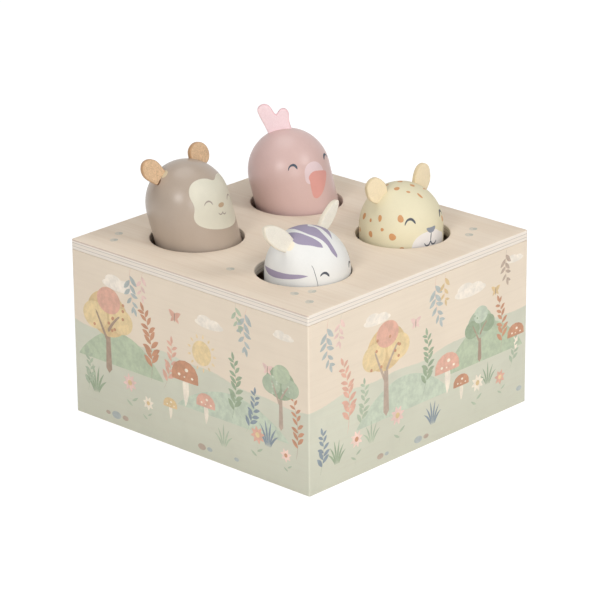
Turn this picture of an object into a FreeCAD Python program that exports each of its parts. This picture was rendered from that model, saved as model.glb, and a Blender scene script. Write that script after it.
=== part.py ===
import FreeCAD, Part
import math
import os

V = FreeCAD.Vector

# A square wooden box with four round holes in its lid. In each hole stands a turned wooden
# peg, painted as an animal, on a compression spring that is fixed to the base board.
# Millimetres and degrees. +Z is up, the animals face -Y, and the origin is the middle of the
# box's underside.

# ---- Driving dimensions: the box ----
BOX_SIDE = 150.0
BOX_HEIGHT = 86.0
LID_THICKNESS = 5.1
WALL_THICKNESS = 7.0
CORNER_RADIUS = 0.8
BASE_THICKNESS = 6.0
BASE_REBATE = 3.5            # how far the base board is let into the walls
BASE_GAP = 0.2               # clearance round the base board in its rebate
HOLE_DIAMETER = 44.2
HOLE_PLACE = 0.225           # of each hole's centre, out from the middle, as a share of BOX_SIDE
BLOCK_SIDE = 12.0            # glue blocks in the inside corners
BLOCK_CHAMFER = 4.0

# ---- Driving dimensions: the pegs ----
PEG_CLEARANCE = 2.5          # between peg and hole, all round, when the peg stands upright
PEG_LENGTH = 68.0
DOME_HEIGHT = 20.5           # a quarter ellipse, at least as high as the peg's radius
PEG_FOOT_RADIUS = 1.5
PEG_WALL = 6.6               # round the bore for the spring
BORE_DEPTH = 20.0
LEAN_HEADING = 133.2         # which way a leaning peg leans, from +X towards +Y

# ---- Driving dimensions: springs and what holds them ----
SPRING_PLAY = 0.9            # between the spring and the wall of the bore
WIRE_DIAMETER = 1.2
ACTIVE_COILS = 5
CLOSED_COILS = 1             # at each end
CLOSED_PITCH = 1.12          # rise of a closed coil, as a share of the wire's diameter
SECTIONS_PER_COIL = 24
WIRE_SIDES = 6               # the wire is modelled as a prism
BOSS_PLAY = 0.15             # between a boss and the closed coils that grip it
BOSS_HEIGHT = 5.0
END_GAP = 0.15               # between the last coil and the end of the bore
SCREW_DIAMETER = 3.0
SCREW_HEAD_DIAMETER = 6.4
SCREW_POINT = 2.5
SCREW_PLAY = 0.05            # between a screw and the wood that it is driven into
FOOT_SCREW_LENGTH = 9.5
PLUG_SCREW_LENGTH = 15.0
BASE_SCREW_LENGTH = 20.0

# ---- Driving dimensions: ears and crest, cut from sheet and glued into slots ----
SHEET_THICKNESS = 2.2
SLOT_PLAY = 0.1              # between an ear and each side of its slot
TAB_DEPTH = 5.0              # of the ear's root under the dome's surface
ROOT_SINK = 0.8              # the ear's outline starts this far under the surface

# ---- The four figures ----
# column and row: which hole. stand: height of the dome over the lid. lean: tilt of the axis.
# shift: where the axis crosses the lid, from the hole's centre along the lean heading.
# turn: how far the face is turned from -Y, anticlockwise from above.
FIGURES = {
    "monkey": {"column": -1, "row": 1, "stand": 37.7, "lean": 13.5, "shift": -0.6, "turn": -6},
    "bird": {"column": 1, "row": 1, "stand": 36.2, "lean": 12.5, "shift": -0.4, "turn": -3},
    "zebra": {"column": -1, "row": -1, "stand": 20.5, "lean": 0.0, "shift": -1.8, "turn": 4},
    "leopard": {"column": 1, "row": -1, "stand": 24.3, "lean": 0.0, "shift": 0.7, "turn": -2},
}

# Half outlines of the ears: (share of the width, share of the length), from root to tip.
ROUND_EAR = [(0.40, 0.0), (0.48, 0.30), (0.50, 0.62), (0.30, 0.90), (0.0, 1.0)]
LOW_EAR = [(0.36, 0.0), (0.50, 0.30), (0.47, 0.62), (0.28, 0.90), (0.0, 1.0)]
LEAF_EAR = [(0.38, 0.0), (0.50, 0.30), (0.46, 0.62), (0.25, 0.90), (0.0, 1.0)]
BALLOON_EAR = [(0.33, 0.0), (0.50, 0.30), (0.47, 0.62), (0.30, 0.90), (0.0, 1.0)]
# out: distance of the root from the peg's axis. splay: tilt of the ear away from the axis.
# swing: how far the ear's plane is turned back from the sideways direction.
EARS = {
    "monkey_left_ear": {"shape": ROUND_EAR, "side": -1, "out": 11.0, "splay": 33.3,
                        "swing": 3.7, "width": 9.4, "length": 12.6},
    "monkey_right_ear": {"shape": LOW_EAR, "side": 1, "out": 12.5, "splay": 41.8,
                         "swing": 8.3, "width": 12.8, "length": 9.4},
    "zebra_left_ear": {"shape": LEAF_EAR, "side": -1, "out": 12.9, "splay": 52.8,
                       "swing": 3.3, "width": 9.2, "length": 20.4},
    "zebra_right_ear": {"shape": LEAF_EAR, "side": 1, "out": 11.5, "splay": 52.4,
                        "swing": 4.4, "width": 7.7, "length": 16.6},
    "leopard_left_ear": {"shape": BALLOON_EAR, "side": -1, "out": 12.2, "splay": 34.1,
                         "swing": 8.6, "width": 10.6, "length": 12.1},
    "leopard_right_ear": {"shape": BALLOON_EAR, "side": 1, "out": 14.5, "splay": 6,
                          "swing": 5.2, "width": 11.5, "length": 13.0},
}

# The bird's crest: a comb of two lobes. Shares of its width and height, from front to back root.
CREST_WIDTH = 13.9
CREST_HEIGHT = 14.5
CREST_SWING = -45.0          # of its plane, from the sideways direction
CREST_BACK = 2.5             # of its plane, behind the peg's axis
CREST_OUTLINE = [(-0.40, 0.0), (-0.47, 0.31), (-0.57, 0.70), (-0.56, 0.90), (-0.38, 1.0),
                 (-0.14, 0.87), (0.01, 0.57), (0.15, 0.69), (0.31, 0.72), (0.43, 0.58),
                 (0.40, 0.30), (0.41, 0.0)]

# ---- Sizes that follow ----
WALL_TOP = BOX_HEIGHT - LID_THICKNESS
LID_MIDDLE = BOX_HEIGHT - LID_THICKNESS / 2
CAVITY_SIDE = BOX_SIDE - 2 * WALL_THICKNESS
HOLE_RADIUS = HOLE_DIAMETER / 2
PEG_RADIUS = HOLE_RADIUS - PEG_CLEARANCE
BORE_RADIUS = PEG_RADIUS - PEG_WALL
COIL_RADIUS = BORE_RADIUS - SPRING_PLAY - WIRE_DIAMETER / 2
BOSS_RADIUS = COIL_RADIUS - WIRE_DIAMETER / 2 - BOSS_PLAY
SCREW_RADIUS = SCREW_DIAMETER / 2
HEAD_RADIUS = SCREW_HEAD_DIAMETER / 2
HEAD_HEIGHT = HEAD_RADIUS - SCREW_RADIUS
LEAN_DIRECTION = V(math.cos(math.radians(LEAN_HEADING)), math.sin(math.radians(LEAN_HEADING)), 0)


def rounded_block(side, radius, low, high):
    """Square block about the Z axis with rounded upright edges."""
    block = square_block(side, low, high)
    upright = [edge for edge in block.Edges if abs(edge.tangentAt(edge.FirstParameter).z) > 0.9]
    return block.makeFillet(radius, upright)


def square_block(side, low, high):
    return Part.makeBox(side, side, high - low, V(-side / 2, -side / 2, low))


def turned(edges):
    """Solid of revolution about Z from edges that run in the XZ plane and close on themselves."""
    face = Part.Face(Part.Wire(edges))
    return face.revolve(V(0, 0, 0), V(0, 0, 1), 360)


def profile_lines(points):
    """Straight edges through points given as (radius, height)."""
    ends = [V(radius, 0, height) for radius, height in points]
    return [Part.makeLine(start, end) for start, end in zip(ends, ends[1:])]


def hole_centre(figure):
    reach = HOLE_PLACE * BOX_SIDE
    return V(figure["column"] * reach, figure["row"] * reach, 0)


def corner_centres():
    """Middle of each glue block, where a base screw goes."""
    reach = CAVITY_SIDE / 2 - BLOCK_SIDE / 2
    return [V(x * reach, y * reach, 0) for x in (-1, 1) for y in (-1, 1)]


# ---- Screws ----
def wood_screw(length):
    """Countersunk screw pointing down, the top of its head at z = 0."""
    half = [(0, 0), (HEAD_RADIUS, 0), (SCREW_RADIUS, -HEAD_HEIGHT),
            (SCREW_RADIUS, SCREW_POINT - length), (0, -length), (0, 0)]
    return turned(profile_lines(half))


def screw_hole(length):
    """The space that a screw takes, a little wider than the screw all round."""
    wide = SCREW_RADIUS + SCREW_PLAY
    head = HEAD_RADIUS + SCREW_PLAY
    half = [(0, 0), (head, 0), (wide, -HEAD_HEIGHT), (wide, -length - SCREW_PLAY),
            (0, -length - SCREW_PLAY), (0, 0)]
    return turned(profile_lines(half))


# ---- Box ----
def lid():
    board = rounded_block(BOX_SIDE, CORNER_RADIUS, WALL_TOP, BOX_HEIGHT)
    for figure in FIGURES.values():
        foot = hole_centre(figure) + V(0, 0, WALL_TOP)
        board = board.cut(Part.makeCylinder(HOLE_RADIUS, LID_THICKNESS, foot))
    return board


def walls():
    """The four walls, mitred at the corners and rebated for the base board."""
    ring = rounded_block(BOX_SIDE, CORNER_RADIUS, 0, WALL_TOP)
    ring = ring.cut(square_block(CAVITY_SIDE, 0, WALL_TOP))
    ring = ring.cut(square_block(CAVITY_SIDE + 2 * BASE_REBATE, 0, BASE_THICKNESS))
    panels = {}
    for name, heading in (("front_panel", -90), ("right_panel", 0), ("back_panel", 90), ("left_panel", 180)):
        corners = [V(0, 0, 0), V(BOX_SIDE, -BOX_SIDE, 0), V(BOX_SIDE, BOX_SIDE, 0), V(0, 0, 0)]
        wedge = Part.Face(Part.makePolygon(corners)).extrude(V(0, 0, WALL_TOP))
        wedge.rotate(V(0, 0, 0), V(0, 0, 1), heading)
        panels[name] = ring.common(wedge)
    return panels


def base_board():
    board = square_block(CAVITY_SIDE + 2 * BASE_REBATE - 2 * BASE_GAP, 0, BASE_THICKNESS)
    for centre in corner_centres():
        hole = screw_hole(BASE_SCREW_LENGTH)
        hole.rotate(V(0, 0, 0), V(1, 0, 0), 180)
        board = board.cut(hole.translated(centre))
    for figure in FIGURES.values():
        board = board.cut(screw_hole(FOOT_SCREW_LENGTH).translated(foot_screw_top(figure)))
    return board


def corner_blocks():
    """Glue blocks in the corners of the cavity, from the base board up to the lid."""
    blocks = {}
    names = ("front_left", "back_left", "front_right", "back_right")
    for name, centre in zip(names, corner_centres()):
        low = V(centre.x - BLOCK_SIDE / 2, centre.y - BLOCK_SIDE / 2, BASE_THICKNESS)
        block = Part.makeBox(BLOCK_SIDE, BLOCK_SIDE, WALL_TOP - BASE_THICKNESS, low)
        inner = min((edge for edge in block.Edges if edge.BoundBox.ZLength > BLOCK_SIDE),
                    key=lambda edge: math.hypot(edge.BoundBox.Center.x, edge.BoundBox.Center.y))
        block = block.makeChamfer(BLOCK_CHAMFER, [inner])
        hole = screw_hole(BASE_SCREW_LENGTH)
        hole.rotate(V(0, 0, 0), V(1, 0, 0), 180)
        blocks[name + "_corner_block"] = block.cut(hole.translated(centre))
    return blocks


def base_screws():
    screw = wood_screw(BASE_SCREW_LENGTH)
    screw.rotate(V(0, 0, 0), V(1, 0, 0), 180)
    return Part.makeCompound([screw.translated(centre) for centre in corner_centres()])


# ---- Bosses that the springs grip ----
def boss():
    """Turned disc with a countersunk hole down its middle, standing on z = 0."""
    disc = Part.makeCylinder(BOSS_RADIUS, BOSS_HEIGHT)
    return disc.cut(screw_hole(PLUG_SCREW_LENGTH).translated(V(0, 0, BOSS_HEIGHT)))


def foot_screw_top(figure):
    return hole_centre(figure) + V(0, 0, BASE_THICKNESS + BOSS_HEIGHT)


def foot_screws():
    screws = [wood_screw(FOOT_SCREW_LENGTH).translated(foot_screw_top(figure)) for figure in FIGURES.values()]
    return Part.makeCompound(screws)


# ---- Pegs ----
def peg_place(figure):
    """Where a peg stands: from its own frame, with its foot at z = 0, into the box."""
    heading_across = V(-LEAN_DIRECTION.y, LEAN_DIRECTION.x, 0)
    lean = FreeCAD.Rotation(heading_across, figure["lean"])
    turn = FreeCAD.Rotation(V(0, 0, 1), figure["turn"])
    pivot = hole_centre(figure) + LEAN_DIRECTION * figure["shift"] + V(0, 0, LID_MIDDLE)
    foot = V(0, 0, figure["stand"] + LID_THICKNESS / 2 - PEG_LENGTH)
    return FreeCAD.Placement(pivot + lean.multVec(foot), lean.multiply(turn))


def placed(shape, figure):
    copy = shape.copy()
    copy.Placement = peg_place(figure).multiply(copy.Placement)
    return copy


def dome_height(radius):
    """Height of the dome's surface over the peg's foot, at a distance from the axis."""
    return PEG_LENGTH - DOME_HEIGHT + DOME_HEIGHT * math.sqrt(1 - (radius / PEG_RADIUS) ** 2)


def peg():
    """Blank of a figure: cylinder, dome as a quarter ellipse, bore for the spring, pilot hole."""
    shoulder = PEG_LENGTH - DOME_HEIGHT
    pilot = SCREW_RADIUS + SCREW_PLAY
    pilot_end = BORE_DEPTH + PLUG_SCREW_LENGTH - BOSS_HEIGHT + SCREW_PLAY
    rounding = PEG_FOOT_RADIUS
    diagonal = rounding * math.sqrt(0.5)
    foot_arc = Part.Arc(V(PEG_RADIUS - rounding, 0, 0),
                        V(PEG_RADIUS - rounding + diagonal, 0, rounding - diagonal),
                        V(PEG_RADIUS, 0, rounding)).toShape()
    oval = Part.Ellipse(V(0, 0, PEG_LENGTH), V(PEG_RADIUS, 0, shoulder), V(0, 0, shoulder))
    dome_arc = Part.ArcOfEllipse(oval, 0, math.pi / 2).toShape()
    edges = profile_lines([(BORE_RADIUS, 0), (PEG_RADIUS - rounding, 0)])
    edges += [foot_arc] + profile_lines([(PEG_RADIUS, rounding), (PEG_RADIUS, shoulder)]) + [dome_arc]
    edges += profile_lines([(0, PEG_LENGTH), (0, pilot_end), (pilot, pilot_end), (pilot, BORE_DEPTH),
                            (BORE_RADIUS, BORE_DEPTH), (BORE_RADIUS, 0)])
    return turned(edges)


# ---- Ears and crest ----
def sheet_piece(outline, tab_half_width, grow):
    """Plate with its root at the origin, its length along +Z and its width along X.

    outline runs from the left end of the root to the right end, in (across, along). grow
    widens it all round, for the slot."""
    curve = Part.BSplineCurve()
    curve.interpolate([V(across + math.copysign(grow, across) if across else 0, 0, along)
                       for across, along in outline])
    left, right = curve.StartPoint, curve.EndPoint
    bottom = -TAB_DEPTH - grow
    tab = tab_half_width + grow
    corners = [right, V(tab, 0, bottom), V(-tab, 0, bottom), left]
    rim = [Part.makeLine(start, end) for start, end in zip(corners, corners[1:])]
    half_thickness = SHEET_THICKNESS / 2 + grow
    face = Part.Face(Part.Wire([curve.toShape()] + rim))
    face.translate(V(0, -half_thickness, 0))
    return face.extrude(V(0, 2 * half_thickness, 0))


def ear(details, grow=0.0):
    """One ear in its peg's frame."""
    width, length = details["width"], details["length"]
    half = [(share * width, along * length) for share, along in details["shape"]]
    outline = [(-across, along) for across, along in half] + half[-2::-1]
    piece = sheet_piece(outline, half[0][0], grow)
    piece.translate(V(0, 0, -ROOT_SINK))
    piece.rotate(V(0, 0, 0), V(0, 1, 0), details["splay"])
    piece.translate(V(details["out"], 0, dome_height(details["out"])))
    piece.rotate(V(0, 0, 0), V(0, 0, 1), details["swing"])
    if details["side"] < 0:
        piece = piece.mirror(V(0, 0, 0), V(1, 0, 0))
    return piece


def crest(grow=0.0):
    """The bird's crest in its peg's frame."""
    outline = [(across * CREST_WIDTH, along * CREST_HEIGHT) for across, along in CREST_OUTLINE]
    piece = sheet_piece(outline, -outline[0][0], grow)
    piece.translate(V(0, CREST_BACK, dome_height(CREST_BACK) - ROOT_SINK))
    piece.rotate(V(0, 0, 0), V(0, 0, 1), CREST_SWING)
    return piece


# ---- Springs ----
def centre_line(figure):
    """Middle of a spring from the base board to the end of the bore, as a function.

    It runs straight up along the boss on the base board, bends over in a cubic curve and runs
    straight along the peg's axis inside the bore. The function takes a length from the base
    board and gives a point and a direction."""
    place = peg_place(figure)
    axis = place.Rotation.multVec(V(0, 0, 1))
    upright = V(0, 0, 1)
    foot = hole_centre(figure) + V(0, 0, BASE_THICKNESS)
    start = foot + upright * BOSS_HEIGHT
    mouth = place.multVec(V(0, 0, 0))
    reach = (mouth - start).Length
    bend = Part.BezierCurve()
    bend.setPoles([start, start + upright * (reach / 3), mouth - axis * (reach / 3), mouth])
    bend_end = BOSS_HEIGHT + bend.length()

    def at(length):
        if length <= BOSS_HEIGHT:
            return foot + upright * length, upright
        if length >= bend_end:
            return mouth + axis * (length - bend_end), axis
        spot = bend.parameterAtDistance(length - BOSS_HEIGHT, bend.FirstParameter)
        return bend.value(spot), bend.tangent(spot)[0]

    return at, bend_end + BORE_DEPTH


def spring(figure):
    """Compression spring with a closed coil at each end, wound about the centre line."""
    at, total = centre_line(figure)
    coils = ACTIVE_COILS + 2 * CLOSED_COILS
    closed_rise = WIRE_DIAMETER * CLOSED_PITCH
    end_room = END_GAP + WIRE_DIAMETER / 2
    open_rise = (total - 2 * end_room - 2 * CLOSED_COILS * closed_rise) / ACTIVE_COILS
    points, outward = [], []
    steps = SECTIONS_PER_COIL * coils
    for step in range(steps + 1):
        turns = coils * step / steps
        opened = min(max(turns - CLOSED_COILS, 0), ACTIVE_COILS)
        centre, along = at(end_room + closed_rise * (turns - opened) + open_rise * opened)
        side = along.cross(V(0, 1, 0)).normalize()
        angle = 2 * math.pi * turns
        outward.append(side * math.cos(angle) + along.cross(side) * math.sin(angle))
        points.append(centre + outward[-1] * COIL_RADIUS)
    sections = []
    for step, (point, out) in enumerate(zip(points, outward)):
        along = points[min(step + 1, steps)] - points[max(step - 1, 0)]
        across = along.cross(out).normalize()
        corners = []
        for side in range(WIRE_SIDES + 1):
            angle = 2 * math.pi * side / WIRE_SIDES
            corners.append(point + (out * math.cos(angle) + across * math.sin(angle)) * (WIRE_DIAMETER / 2))
        sections.append(Part.makePolygon(corners))
    return Part.makeLoft(sections, True, True)


# ---- Figures ----
def figure_nodes(name, figure):
    """Everything that moves with one peg."""
    nodes = {}
    body = peg()
    for ear_name, details in EARS.items():
        if ear_name.startswith(name):
            body = body.cut(ear(details, SLOT_PLAY))
            nodes[ear_name] = placed(ear(details), figure)
    if name == "bird":
        body = body.cut(crest(SLOT_PLAY))
        nodes["bird_crest"] = placed(crest(), figure)
    nodes[name] = placed(body, figure)
    plug = boss()
    plug.rotate(V(0, 0, 0), V(1, 0, 0), 180)
    nodes[name + "_spring_plug"] = placed(plug.translated(V(0, 0, BORE_DEPTH)), figure)
    screw = wood_screw(PLUG_SCREW_LENGTH)
    screw.rotate(V(0, 0, 0), V(1, 0, 0), 180)
    nodes[name + "_plug_screw"] = placed(screw.translated(V(0, 0, BORE_DEPTH - BOSS_HEIGHT)), figure)
    return nodes


def build():
    nodes = {"lid": lid(), "base_board": base_board(), "base_screws": base_screws(),
             "spring_foot_screws": foot_screws()}
    nodes.update(walls())
    nodes.update(corner_blocks())
    for name, figure in FIGURES.items():
        nodes.update(figure_nodes(name, figure))
        nodes[name + "_spring"] = spring(figure)
        nodes[name + "_spring_foot"] = boss().translated(hole_centre(figure) + V(0, 0, BASE_THICKNESS))
    return nodes


def main():
    os.makedirs("parts", exist_ok=True)
    for name, shape in build().items():
        for solid in shape.Solids:
            if not solid.isValid():
                print("not valid:", name)
        shape.exportStep("parts/" + name + ".step")
        box = shape.BoundBox
        print(f"{name}: {len(shape.Solids)} solid(s), {shape.Volume:.1f} mm3, "
              f"z {box.ZMin:.2f} to {box.ZMax:.2f}")


main()
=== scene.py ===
import math
from functools import cached_property

import bmesh
import bpy
import numpy as np
from bpy.props import FloatProperty, FloatVectorProperty, IntProperty, PointerProperty
from bpy.types import Operator, Panel, PropertyGroup
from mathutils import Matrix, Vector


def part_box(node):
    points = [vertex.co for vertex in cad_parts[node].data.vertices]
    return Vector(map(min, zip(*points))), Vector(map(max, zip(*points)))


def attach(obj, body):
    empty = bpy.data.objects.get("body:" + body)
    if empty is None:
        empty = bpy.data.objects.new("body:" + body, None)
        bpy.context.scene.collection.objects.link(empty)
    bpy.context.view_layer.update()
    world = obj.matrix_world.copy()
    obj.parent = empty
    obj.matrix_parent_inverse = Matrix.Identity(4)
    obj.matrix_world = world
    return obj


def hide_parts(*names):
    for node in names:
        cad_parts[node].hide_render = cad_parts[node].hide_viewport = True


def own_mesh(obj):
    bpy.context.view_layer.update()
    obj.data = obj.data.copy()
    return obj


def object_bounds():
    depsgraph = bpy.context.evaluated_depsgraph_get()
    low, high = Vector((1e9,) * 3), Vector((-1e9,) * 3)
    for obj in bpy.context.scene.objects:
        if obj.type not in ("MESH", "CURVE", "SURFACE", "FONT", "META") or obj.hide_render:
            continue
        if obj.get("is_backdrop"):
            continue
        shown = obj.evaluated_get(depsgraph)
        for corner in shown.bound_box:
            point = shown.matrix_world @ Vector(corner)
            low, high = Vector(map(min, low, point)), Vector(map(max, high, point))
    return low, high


bl_info = {
    "name": "Pop Up Animal Toy",
    "version": (1, 0, 0),
    "blender": (4, 5, 0),
    "location": "View3D > Sidebar > Pop Up Toy",
    "description": "Wooden box with four sprung animal pegs, its print, its paint and its stage",
    "category": "Object",
}

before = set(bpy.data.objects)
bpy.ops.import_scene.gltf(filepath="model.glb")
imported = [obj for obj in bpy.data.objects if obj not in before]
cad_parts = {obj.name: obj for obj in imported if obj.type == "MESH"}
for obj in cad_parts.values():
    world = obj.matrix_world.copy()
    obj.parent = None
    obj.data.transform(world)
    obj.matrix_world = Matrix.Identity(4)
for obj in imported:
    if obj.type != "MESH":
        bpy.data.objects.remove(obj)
MM = 0.001
MERGE = 4e-7  # Corners nearer than this are one.
# Thickness of the paint over the dome, what each later layer adds, and its depth in the wood.
PAINT_LIFT, PAINT_LAYER, PAINT_SUNK = 0.03 * MM, 0.012 * MM, 0.05 * MM
# The same for the print; PRINT_RANGE is shared by all its levels.
PRINT_LIFT, PRINT_LEVEL, PRINT_RANGE, PRINT_SUNK = 0.012 * MM, 0.012 * MM, 0.083 * MM, 0.04 * MM
CHART_BALL = 20

# ---- The four figures, as the source has them. Millimetres and degrees ----
# Column and row of the hole, height of the dome over the lid, lean of the axis, place where the
# axis crosses the lid from the hole's centre, and turn of the face from -Y.
FIGURES = {
    "monkey": (-1, 1, 37.7, 13.5, -0.6, -6),
    "bird": (1, 1, 36.2, 12.5, -0.4, -3),
    "zebra": (-1, -1, 20.5, 0.0, -1.8, 4),
    "leopard": (1, -1, 24.3, 0.0, 0.7, -2),
}
LEAN_HEADING = 133.2
PAINT_SLOTS = {"monkey": "taupe_paint", "bird": "rose_paint", "zebra": "white_paint",
               "leopard": "cream_paint"}

# Half outlines of the ears: shares of the width and of the length, from root to tip.
ROUND_EAR = [(0.40, 0.0), (0.48, 0.30), (0.50, 0.62), (0.30, 0.90), (0.0, 1.0)]
LOW_EAR = [(0.36, 0.0), (0.50, 0.30), (0.47, 0.62), (0.28, 0.90), (0.0, 1.0)]
LEAF_EAR = [(0.38, 0.0), (0.50, 0.30), (0.46, 0.62), (0.25, 0.90), (0.0, 1.0)]
BALLOON_EAR = [(0.33, 0.0), (0.50, 0.30), (0.47, 0.62), (0.30, 0.90), (0.0, 1.0)]
# Half outline, side, distance of the root from the axis, splay, swing, width and length.
EARS = {
    "monkey_left_ear": (ROUND_EAR, -1, 11.0, 33.3, 3.7, 9.4, 12.6),
    "monkey_right_ear": (LOW_EAR, 1, 12.5, 41.8, 8.3, 12.8, 9.4),
    "zebra_left_ear": (LEAF_EAR, -1, 12.9, 52.8, 3.3, 9.2, 20.4),
    "zebra_right_ear": (LEAF_EAR, 1, 11.5, 52.4, 4.4, 7.7, 16.6),
    "leopard_left_ear": (BALLOON_EAR, -1, 12.2, 34.1, 8.6, 10.6, 12.1),
    "leopard_right_ear": (BALLOON_EAR, 1, 14.5, 6, 5.2, 11.5, 13.0),
}
CREST_WIDTH, CREST_HEIGHT, CREST_SWING, CREST_BACK = 13.9, 14.5, -45.0, 2.5
CREST_OUTLINE = [(-0.40, 0.0), (-0.47, 0.31), (-0.57, 0.70), (-0.56, 0.90), (-0.38, 1.0),
                 (-0.14, 0.87), (0.01, 0.57), (0.15, 0.69), (0.31, 0.72), (0.43, 0.58),
                 (0.40, 0.30), (0.41, 0.0)]
TAB_DEPTH, ROOT_SINK, EAR_ROUNDING = 5.0, 0.8, 0.55
BASE_THICKNESS, BOSS_HEIGHT = 6 * MM, 5 * MM


def rgba(colour):
    return (*colour, 1.0)


def paint(code):
    """Linear colour from six hexadecimal digits of sRGB."""
    parts = [int(code[i:i + 2], 16) / 255 for i in (0, 2, 4)]
    return rgba(c / 12.92 if c <= 0.04045 else ((c + 0.055) / 1.055) ** 2.4 for c in parts)


def metres(name, description, default):
    return FloatProperty(name=name, description=description, default=default, min=0.0,
                         unit="LENGTH", precision=5)


def tint(name, description, code):
    return FloatVectorProperty(name=name, description=description, size=3, subtype="COLOR",
                               min=0.0, max=1.0, default=paint(code)[:3])


def watts(name, description, default):
    return FloatProperty(name=name, description=description, default=default, unit="POWER")


# ---- Settings ----


class BoxSettings(PropertyGroup):
    """Sizes and colours of the wooden box."""
    side: metres("Side", "Width and depth of the box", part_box("lid")[1].x * 2)
    top: metres("Height", "Height of the lid's upper face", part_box("lid")[1].z)
    lid_thickness: metres("Lid", "Thickness of the lid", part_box("lid")[1].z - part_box("lid")[0].z)
    corner: metres("Corner radius", "Radius of the upright corners", 0.8 * MM)
    hole: metres("Hole diameter", "Diameter of each hole in the lid", 44.2 * MM)
    reach: metres("Hole place", "A hole's centre from the middle, along X and Y", 33.75 * MM)
    rounding: metres("Edge rounding", "Radius of the lid's sanded edges", 0.45 * MM)
    plies: IntProperty(name="Plies", description="Veneers in the lid", default=3, min=3, max=9)
    birch: tint("Birch", "Colour of the light wood", "ECDDCA")
    birch_dark: tint("Birch, dark", "Colour of the grain's darker streaks", "DFCBB4")
    edge: tint("Cut edge", "Colour of the plies on the lid's edge", "F0E7DC")
    glue: tint("Glue line", "Colour between two plies", "A99F97")
    top_edge_line: tint("Top edge line", "Colour of the darker line along the topmost edge", "B08A78")
    sky: tint("Sky", "Print above the meadow", "EDDFCC")
    meadow: tint("Meadow", "Print of the meadow", "D1D2C1")


class PegSettings(PropertyGroup):
    """Sizes and colours of the pegs and springs."""
    radius: metres("Radius", "Radius of a peg", 19.6 * MM)
    length: metres("Length", "Length of a peg with its dome", 68.0 * MM)
    dome: metres("Dome", "Height of the dome", 20.5 * MM)
    bore: metres("Bore", "Radius of the bore for the spring", 13.0 * MM)
    bore_depth: metres("Bore depth", "Depth of the bore", 20.0 * MM)
    foot: metres("Foot rounding", "Radius of the foot's edge", 1.5 * MM)
    sheet: metres("Ear thickness", "Thickness of the ears and crest", 2.2 * MM)
    wire: metres("Wire", "Diameter of the spring's wire", 1.2 * MM)
    coil: metres("Coil", "Radius of the spring's centre line", 11.5 * MM)
    monkey: tint("Monkey", "Paint of the monkey", "B0A091")
    bird: tint("Bird", "Paint of the bird", "D2B4AE")
    zebra: tint("Zebra", "Paint of the zebra", "E3E2DE")
    leopard: tint("Leopard", "Paint of the leopard", "E0D7B8")
    tan_leather: tint("Tan leather", "The monkey's ears", "DDBA94")
    cream_leather: tint("Cream leather", "The leopard's ears", "F1DFBC")
    pink_felt: tint("Pink felt", "The bird's crest", "FFE2E5")
    ivory_felt: tint("Ivory felt", "The zebra's ears", "F0EADC")


class StageSettings(PropertyGroup):
    """Camera and lamps."""
    distance: metres("Camera distance", "From the middle of the view", 1.5696)
    lens: FloatProperty(name="Lens", description="Focal length in millimetres", default=200.89,
                        min=1.0)
    key: watts("Key lamp", "Power of the lamp at the right", 11.3)
    fill: watts("Fill lamp", "Power of the lamp at the left", 11.4)
    low: watts("Low lamp", "Power of the lamp near the floor in front", 9.0)
    over: watts("Top lamp", "Power of the large lamp overhead", 10.5)
    room: FloatProperty(name="Room light", description="Strength of the light from all sides",
                        default=0.22)


# ---- Curves and surfaces ----
def unit(vectors):
    return vectors / np.linalg.norm(vectors, axis=-1, keepdims=True)


def smooth_line(points, count, closed=False):
    """Natural cubic spline through the points, measured along their chords, in even steps.

    A closed line is carried three points past its ends before it is solved, so that it closes
    smoothly."""
    knots = np.asarray(points, float)
    if closed:
        knots = np.vstack([knots[-3:], knots, knots[:4]])
    chords = np.diff(knots, axis=0)
    steps = np.linalg.norm(chords, axis=1)
    at = np.concatenate([[0], np.cumsum(steps)])
    inner = np.arange(1, len(knots) - 1)
    matrix, right = np.eye(len(knots)), np.zeros_like(knots)
    matrix[inner, inner - 1], matrix[inner, inner + 1] = steps[:-1], steps[1:]
    matrix[inner, inner] = 2 * (steps[:-1] + steps[1:])
    slopes = chords / steps[:, None]
    right[1:-1] = 6 * (slopes[1:] - slopes[:-1])
    bend = np.linalg.solve(matrix, right)
    ends = (at[3], at[-4]) if closed else (at[0], at[-1])
    where = np.linspace(*ends, count, endpoint=not closed)
    span = np.clip(np.searchsorted(at, where, side="right") - 1, 0, len(steps) - 1)
    width = steps[span][:, None]
    back = (at[span + 1] - where)[:, None] / width
    ahead = 1 - back
    curve = (back ** 3 - back) * bend[span] + (ahead ** 3 - ahead) * bend[span + 1]
    return back * knots[span] + ahead * knots[span + 1] + curve * width ** 2 / 6


def grid_faces(rows, columns, wrap_rows, wrap_columns):
    """Quads between neighbouring points of a grid, whose rows or columns may close."""
    index = np.arange(rows * columns).reshape(rows, columns)
    if wrap_rows:
        index = np.vstack([index, index[:1]])
    if wrap_columns:
        index = np.hstack([index, index[:, :1]])
    around = [index[:-1, :-1], index[:-1, 1:], index[1:, 1:], index[1:, :-1]]
    return np.stack(around, -1).reshape(-1, 4)


def link(name, data):
    """New object in the scene."""
    thing = bpy.data.objects.new(name, data)
    bpy.context.scene.collection.objects.link(thing)
    return thing


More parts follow.
